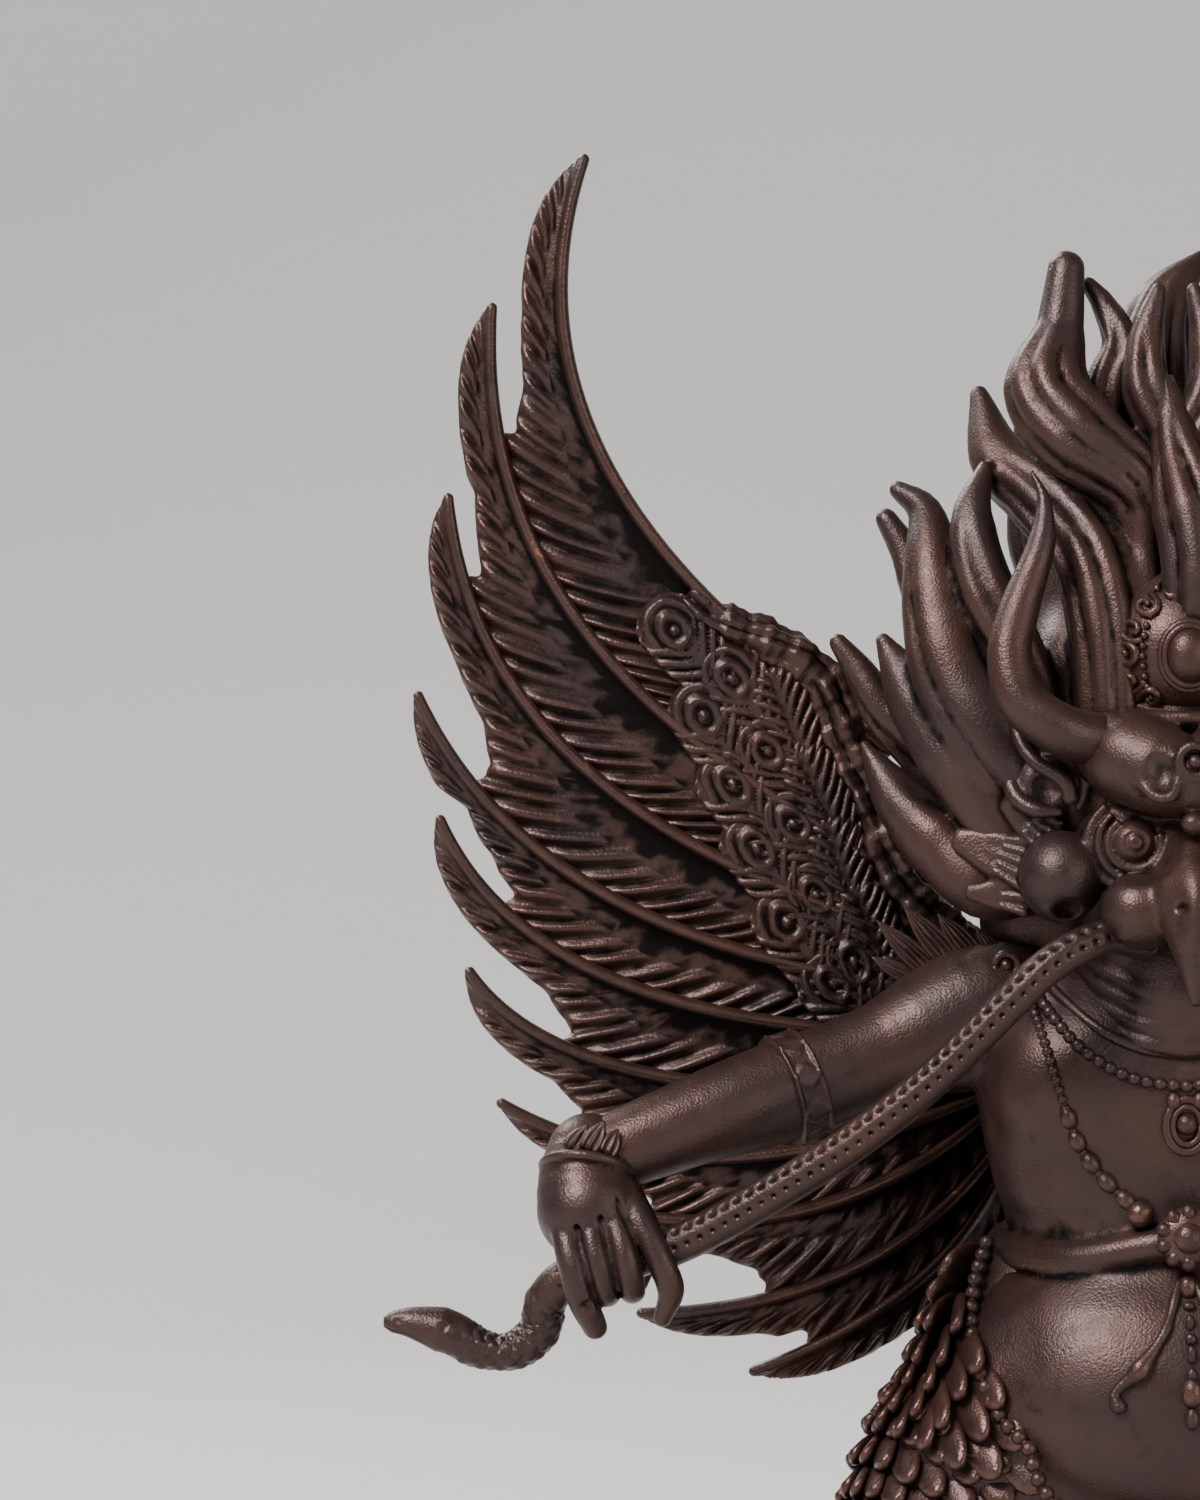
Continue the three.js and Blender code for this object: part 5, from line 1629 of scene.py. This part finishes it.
def feather_rings(quill, breadth, next_quill, notch, random):
    """The closed skin of a flight feather, as rings that follow its barbs."""
    count = int((quill.length + ROOT_UNDER) / BARB_PITCH * BARB_STEPS)
    foot = np.linspace(-ROOT_UNDER, quill.length - TIP_ROUND, count)
    foot = np.concatenate([foot, quill.length - TIP_ROUND * TIP_STEPS])
    length = barb_lengths(quill, foot, breadth, next_quill, notch)
    place, way = quill.at(foot)
    outward = np.stack([way[:, 1], -way[:, 0]], axis=-1)
    lean = barb_leans(quill, foot)
    taper = np.clip((quill.length - foot) / 16, 0, 1) ** 0.6
    barbed = smooth_step(3.0, 7.0, quill.length - foot)
    tip = 1 - np.clip((quill.length - foot) / TIP_ROUND, 0, 1)
    tip = np.sqrt(1 - tip**2)
    half = (TIP_ROUND + (QUILL_HALF_WIDTH - TIP_ROUND) * taper) * tip
    rise = (0.4 + (QUILL_HEIGHT - 0.4) * taper) * tip

    phase = (foot + ROOT_UNDER) / BARB_PITCH + 0.08 * np.sin(foot * 1.9 + random.uniform(0, 6))
    groove = np.abs(2 * (phase % 1) - 1)
    ridge = smooth_step(0.95, 0.1, groove)
    barb_number = np.floor(phase).astype(int)
    strength = random.uniform(0.75, 1.15, barb_number.max() + 2)[barb_number]
    start = random.uniform(0.34, 0.46, barb_number.max() + 2)[barb_number]

    rings = []
    across_quill = np.array([-1.0, -0.85, -0.5, 0.0, 0.5, 0.85])
    for share in across_quill:
        offset = share * half
        lift = rise * math.sqrt(max(0.0, 1 - share * share)) + 0.1
        rings.append((place + offset[:, None] * outward, lift if share > -1 else 0.0 * lift))
    across_vane = np.array([0.0, 0.06, 0.14, 0.24, 0.34, 0.43, 0.52, 0.62, 0.72, 0.82, 0.91, 0.97, 1.0])
    quill_edge = np.minimum(half / np.sin(lean), length)
    span = np.maximum(length - quill_edge, 0.02)
    for share in across_vane:
        spot = barb_places(place, way, lean, quill_edge + share * span)
        fade = smooth_step(start, start + 0.15, share) * (1 - 0.8 * smooth_step(0.88, 1.0, share)) * barbed
        lift = 0.12 - VANE_DROP * share + BARB_HEIGHT * strength * ridge * fade * np.clip(span / 2, 0, 1)
        if share > 0.95:
            lift = lift - 0.18 * (share - 0.95) / 0.05
        rings.append((spot, lift))
    thick = VANE_THICKNESS * (0.45 + 0.55 * taper)
    for share in (1.0, 0.75, 0.45, 0.15):
        spot = barb_places(place, way, lean, quill_edge + share * span)
        back_ridge = 0.12 * ridge * smooth_step(0.2, 0.6, share)
        lift = -thick * (0.75 + 0.25 * (1 - share)) - 0.12 * share + back_ridge
        rings.append((spot, lift - 0.25 * share))
    rings.append((place - 0.9 * half[:, None] * outward, -0.55 * thick))

    skin = []
    for spot, lift in rings:
        lift = np.broadcast_to(lift, foot.shape)
        skin.append(np.stack([-spot[:, 0], wing_depth(spot[:, 0]) - lift, spot[:, 1]], axis=-1))
    return np.stack(skin, axis=1)


# Where the round ends of the short covert feathers lie, out and up, in the order that they overlap;
# the last row, by the bone, has no eye.
COVERT_ROWS = [
    {
        "ends": [(32.6, 84.6), (30.4, 79.4), (28.8, 74.9), (27.3, 70.9), (25.2, 66.4), (22.6, 62.2)],
        "lean": 128,
        "half": 2.2,
        "eye": True,
    },
    {
        "ends": [(28.6, 81.8), (26.4, 77.2), (24.8, 72.6), (23.2, 68.2), (20.6, 64.0), (17.6, 60.6)],
        "lean": 124,
        "half": 2.2,
        "eye": True,
    },
    {
        "ends": [(25.0, 80.6), (23.2, 75.6), (21.4, 71.2), (19.6, 67.0), (17.0, 63.0)],
        "lean": 112,
        "half": 1.9,
        "eye": False,
    },
]
COVERT_LENGTH = 7.5
COVERT_RISE = 0.8
COVERT_PITCH = 0.95
EYE_PITCH = 0.8


def covert_rings(end, lean, half, eye, random):
    """A short feather with a round end, a midrib and slanting barbs that curl into an eye near its end."""
    turn = math.radians(180 - lean + random.uniform(-5, 5))
    eye_turn = random.uniform(-0.3, 0.3)
    eye_shift = random.uniform(-0.25, 0.25)
    wander = random.uniform(0, 6, 3)
    way = np.array([math.cos(turn), math.sin(turn)])
    side = np.array([way[1], -way[0]])
    along = np.concatenate([np.linspace(0, 0.6, 26), np.linspace(0.62, 1, 22)])
    across = np.linspace(-1, 1, 25)
    rings = []
    for share in along:
        place = (share - 1) * COVERT_LENGTH
        near_end = max(0.0, share * COVERT_LENGTH - (COVERT_LENGTH - half)) / half
        width = half * math.sqrt(max(1 - near_end**2, 0.0004)) * (0.75 + 0.25 * min(1, 2.2 * share))
        reach = across * width
        rim = 1 - np.abs(across) ** 3
        waver = 0.05 * np.sin(2.3 * place + wander[0]) + 0.04 * np.sin(4.1 * reach + wander[1])
        barb = (place - np.abs(reach) * np.where(reach > 0, 0.8, 1.1)) / COVERT_PITCH + waver
        lift = 0.42 * (1 - np.abs(2 * (barb % 1) - 1) ** 1.8) * smooth_step(0.02, 0.25, np.abs(across))
        lift = lift + 0.2 * np.exp(-((reach / 0.24) ** 2))
        if eye:
            ahead = place + 1.15 * half
            gap = np.hypot(0.7 * ahead, reach - 0.5 * eye_shift)
            inside = 1 - smooth_step(0.9, 1.3, gap - 1.0 * smooth_step(-0.7, 0.5, ahead))
            turned = np.arctan2(reach - eye_shift, ahead)
            wobble = 0.05 * np.sin(2 * turned + wander[2]) + 0.02 * np.sin(5 * turned + wander[0])
            wave = 0.5 + 0.5 * np.cos(2 * math.pi * (gap / EYE_PITCH + 0.3 * eye_turn + wobble))
            wave = wave * (0.36 + 0.05 * np.sin(4.3 * reach + 3.1 * ahead + wander[1]))
            lift = lift * (1 - inside) + wave * inside
        height = (COVERT_RISE * (0.55 + 0.45 * share) * (0.35 + 0.65 * rim) + lift) * (1 - near_end**6)
        spot = np.array(end) + place * way + reach[:, None] * side
        front = np.stack([-spot[:, 0], wing_depth(spot[:, 0]) - height, spot[:, 1]], axis=-1)
        back = np.array(end) + place * way + np.array([[0.8 * width], [-0.8 * width]]) * side
        back = np.stack([-back[:, 0], wing_depth(back[:, 0]) + 0.3, back[:, 1]], axis=-1)
        rings.append(np.concatenate([front, back]))
    return np.array(rings)


WING_BONE = [
    (9.5, 60.0), (13.0, 62.8), (15.6, 65.6), (17.3, 68.6), (18.5, 71.6), (19.5, 74.4), (20.4, 77.2),
    (21.6, 79.6), (23.6, 81.3), (26.0, 82.5), (28.4, 83.5), (30.2, 84.9),
]
BONE_GIRTHS = [1.6, 1.6, 1.6, 1.5, 1.45, 1.4, 1.35, 1.4, 1.35, 1.25, 1.1, 0.7]
BACKING = {"furthest": 33.2, "reach": 11.0, "drop": 5.6, "front": 0.35, "back": 1.25, "across": 9}
ROOT_PLATE = {
    "inner": [(8.6, 46.4), (8.6, 52.0), (8.6, 60.4)],
    "outer": [(15.5, 47.2), (19.6, 54.0), (20.8, 62.0)],
}


def sinews(share, angle):
    """The strands that run along the wing's bone, broken into uneven lumps."""
    strands = 0.42 * np.abs(np.sin(3 * angle + 5 * share + 0.7 * np.sin(23 * share)))
    lumps = 0.26 * np.sin(58 * share + 2 * angle) * np.sin(31 * share - 3 * angle)
    grit = 0.1 * np.sin(143 * share + 4 * angle) * np.sin(97 * share - 5 * angle)
    return strands + lumps + grit - 0.25


def covert_backing():
    """The edges of the plate behind the coverts: along the bone, and further out over the quills."""
    inner, _ = smooth_path(WING_BONE, 40)
    spread = smooth_step(0, 0.45, np.linspace(0, 1, 40))[:, None]
    outer = inner + np.array([BACKING["reach"], -BACKING["drop"]]) * spread
    outer[:, 0] = np.minimum(outer[:, 0], BACKING["furthest"])
    outer, _ = smooth_path(outer[::9], 40)
    return inner, outer


def backing_rings(inner, outer):
    """A thin plate in the wing's plane between two edges, which joins the feathers at the back."""
    share = np.linspace(0, 1, BACKING["across"])
    rings = []
    for one, other in zip(inner, outer):
        spots = one + share[:, None] * (other - one + 0.02)
        depth = wing_depth(spots[:, 0])
        front = np.stack([-spots[:, 0], depth + BACKING["front"], spots[:, 1]], axis=-1)
        edge = 0.3 * np.abs(2 * share - 1) ** 8
        back = np.stack([-spots[:, 0], depth + BACKING["back"] - edge, spots[:, 1]], axis=-1)
        rings.append(np.concatenate([front, back[::-1]]))
    return np.stack(rings)


def lug_rings():
    """The flat lug that is seated on the pad across the figure's back."""
    low = np.array([WING_LUG["inner"], WING_LUG["low"]])
    high = np.array([WING_LUG["outer"], WING_LUG["high"]])
    middle, half = (low + high) / 2, (high - low) / 2
    turn = np.linspace(0, 2 * math.pi, 64, endpoint=False)
    outline = np.stack(
        [np.sign(f(turn)) * np.abs(f(turn)) ** LUG_CORNER for f in (np.cos, np.sin)], axis=-1
    )
    rings = []
    for depth, inset in ((0, 0.3), (0.1, 0.1), (0.3, 0), (0.7, 0), (0.9, 0.1), (1, 0.35)):
        spots = middle + outline * (half - inset)
        back = WING_LUG["front"] + depth * (WING_LUG["back"] - WING_LUG["front"])
        rings.append(np.stack([-spots[:, 0], back + 0 * turn, spots[:, 1]], axis=-1))
    return np.stack(rings)


def wing_skin():
    """The right wing: flight feathers from the highest down, each in front of the one above."""
    random = np.random.RandomState(WING_SEED)
    quills = [Quill(*points[:3]) for points in FLIGHT_FEATHERS]
    skin = Skin()
    for quill, next_quill, feather in zip(quills, quills[1:] + [None], FLIGHT_FEATHERS):
        skin.add_grid(feather_rings(quill, feather[3], next_quill, feather[4], random))
    for row in COVERT_ROWS:
        for end in row["ends"]:
            skin.add_grid(covert_rings(end, row["lean"], row["half"], row["eye"], random))
    bone = [(-out, wing_depth(np.float64(out)), up) for out, up in WING_BONE]
    skin.add_grid(limb_rings(bone, BONE_GIRTHS, 420, 44, sinews))
    skin.add_grid(backing_rings(*covert_backing()), plain=True)
    root_plate = [smooth_path(ROOT_PLATE[edge], 24)[0] for edge in ("inner", "outer")]
    skin.add_grid(backing_rings(*root_plate), plain=True)
    skin.add_grid(lug_rings(), plain=True)
    return skin


wing_copper = copper("wing copper", 0.000035, wear=0.34)
wing_feathers = wing_skin()
right_wing = wing_feathers.piece("right_wing_feathers", wing_copper)
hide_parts("right_wing")

left_wing = wing_feathers.piece("left_wing_feathers", wing_copper, mirrored=True)
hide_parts("left_wing")

# The plinth
# An oval hollow casting: a plain foot, a ring of lotus petals with smaller ones between them, a narrow
# waist and a rim of beads under the flat top, on which the feet stand.
PLINTH_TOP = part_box("plinth")[1].z
PLINTH_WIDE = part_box("plinth")[1].x
PLINTH_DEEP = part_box("plinth")[1].y
PETALS = 16
RIM_BEADS = 84
RIM_INSET = 3.8
RIM_HEIGHT = 0.9
RIM_BEAD = 0.72

# Share of the height, inset from the widest outline, and how much of the petals shows there.
PLINTH_PROFILE = [
    (0.0, 0.25, 0), (0.02, 0.05, 0), (0.16, 0.05, 0), (0.2, 0.3, 0), (0.205, 1.15, 0), (0.235, 1.45, 0),
    (0.26, 1.5, 0.7), (0.34, 1.5, 1), (0.46, 1.6, 1), (0.56, 2.0, 0.95), (0.63, 2.6, 0.85),
    (0.68, 3.3, 0.6), (0.72, 4.2, 0.2), (0.76, 4.5, 0), (0.8, 4.4, 0), (0.83, 3.7, 0), (0.97, 3.7, 0),
    (1.0, 3.9, 0),
]


def petal_swell(angle, height):
    """How far the petals stand out at an angle and a share of the plinth's height."""
    place = (angle * PETALS / (2 * math.pi)) % 1 - 0.5
    top = np.clip((0.72 - height) / 0.46, 0, 1)
    wide = 0.47 * np.clip(top, 0, 1) ** 0.4
    inside = np.clip(1 - (np.abs(place) / np.maximum(wide, 0.02)) ** 3, 0, 1)
    dome = inside * (0.55 + 0.45 * np.cos(np.pi * place))
    rib = 0.16 * np.exp(-((place / 0.035) ** 2))
    hem = 0.24 * np.exp(-(((np.abs(place) - 0.8 * wide) / 0.05) ** 2))
    between = 0.35 * np.exp(-(((np.abs(place) - 0.5) / 0.1) ** 2))
    return 1.15 * dome + (rib + hem) * inside + between * (1 - inside)


def plinth_skin():
    """The drum from its underside to its top, with its beads."""
    levels, _ = smooth_path(PLINTH_PROFILE, 150)
    levels[:, 1] = np.maximum(levels[:, 1], 0.04)
    angle = np.linspace(0, 2 * math.pi, 512, endpoint=False)
    rings = []
    for height, inset, bulge in levels:
        out = bulge * petal_swell(angle, height) - inset
        rings.append(np.stack([
            (PLINTH_WIDE / UNIT + out) * np.cos(angle),
            (PLINTH_DEEP / UNIT + out) * np.sin(angle),
            (height * PLINTH_TOP - SOLES) / UNIT + 0 * angle,
        ], axis=-1))
    skin = Skin()
    skin.add_grid(np.stack(rings))
    for turn in np.linspace(0, 2 * math.pi, RIM_BEADS, endpoint=False):
        bead = (
            (PLINTH_WIDE / UNIT - RIM_INSET) * math.cos(turn),
            (PLINTH_DEEP / UNIT - RIM_INSET) * math.sin(turn),
            (RIM_HEIGHT * PLINTH_TOP - SOLES) / UNIT,
        )
        add_bead(skin, bead, RIM_BEAD, RIM_BEAD)
    return skin


plinth_copper = copper("plinth copper", 0.00006, wear=0.36)
plinth = plinth_skin().piece("lotus_plinth", plinth_copper)
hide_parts("plinth")
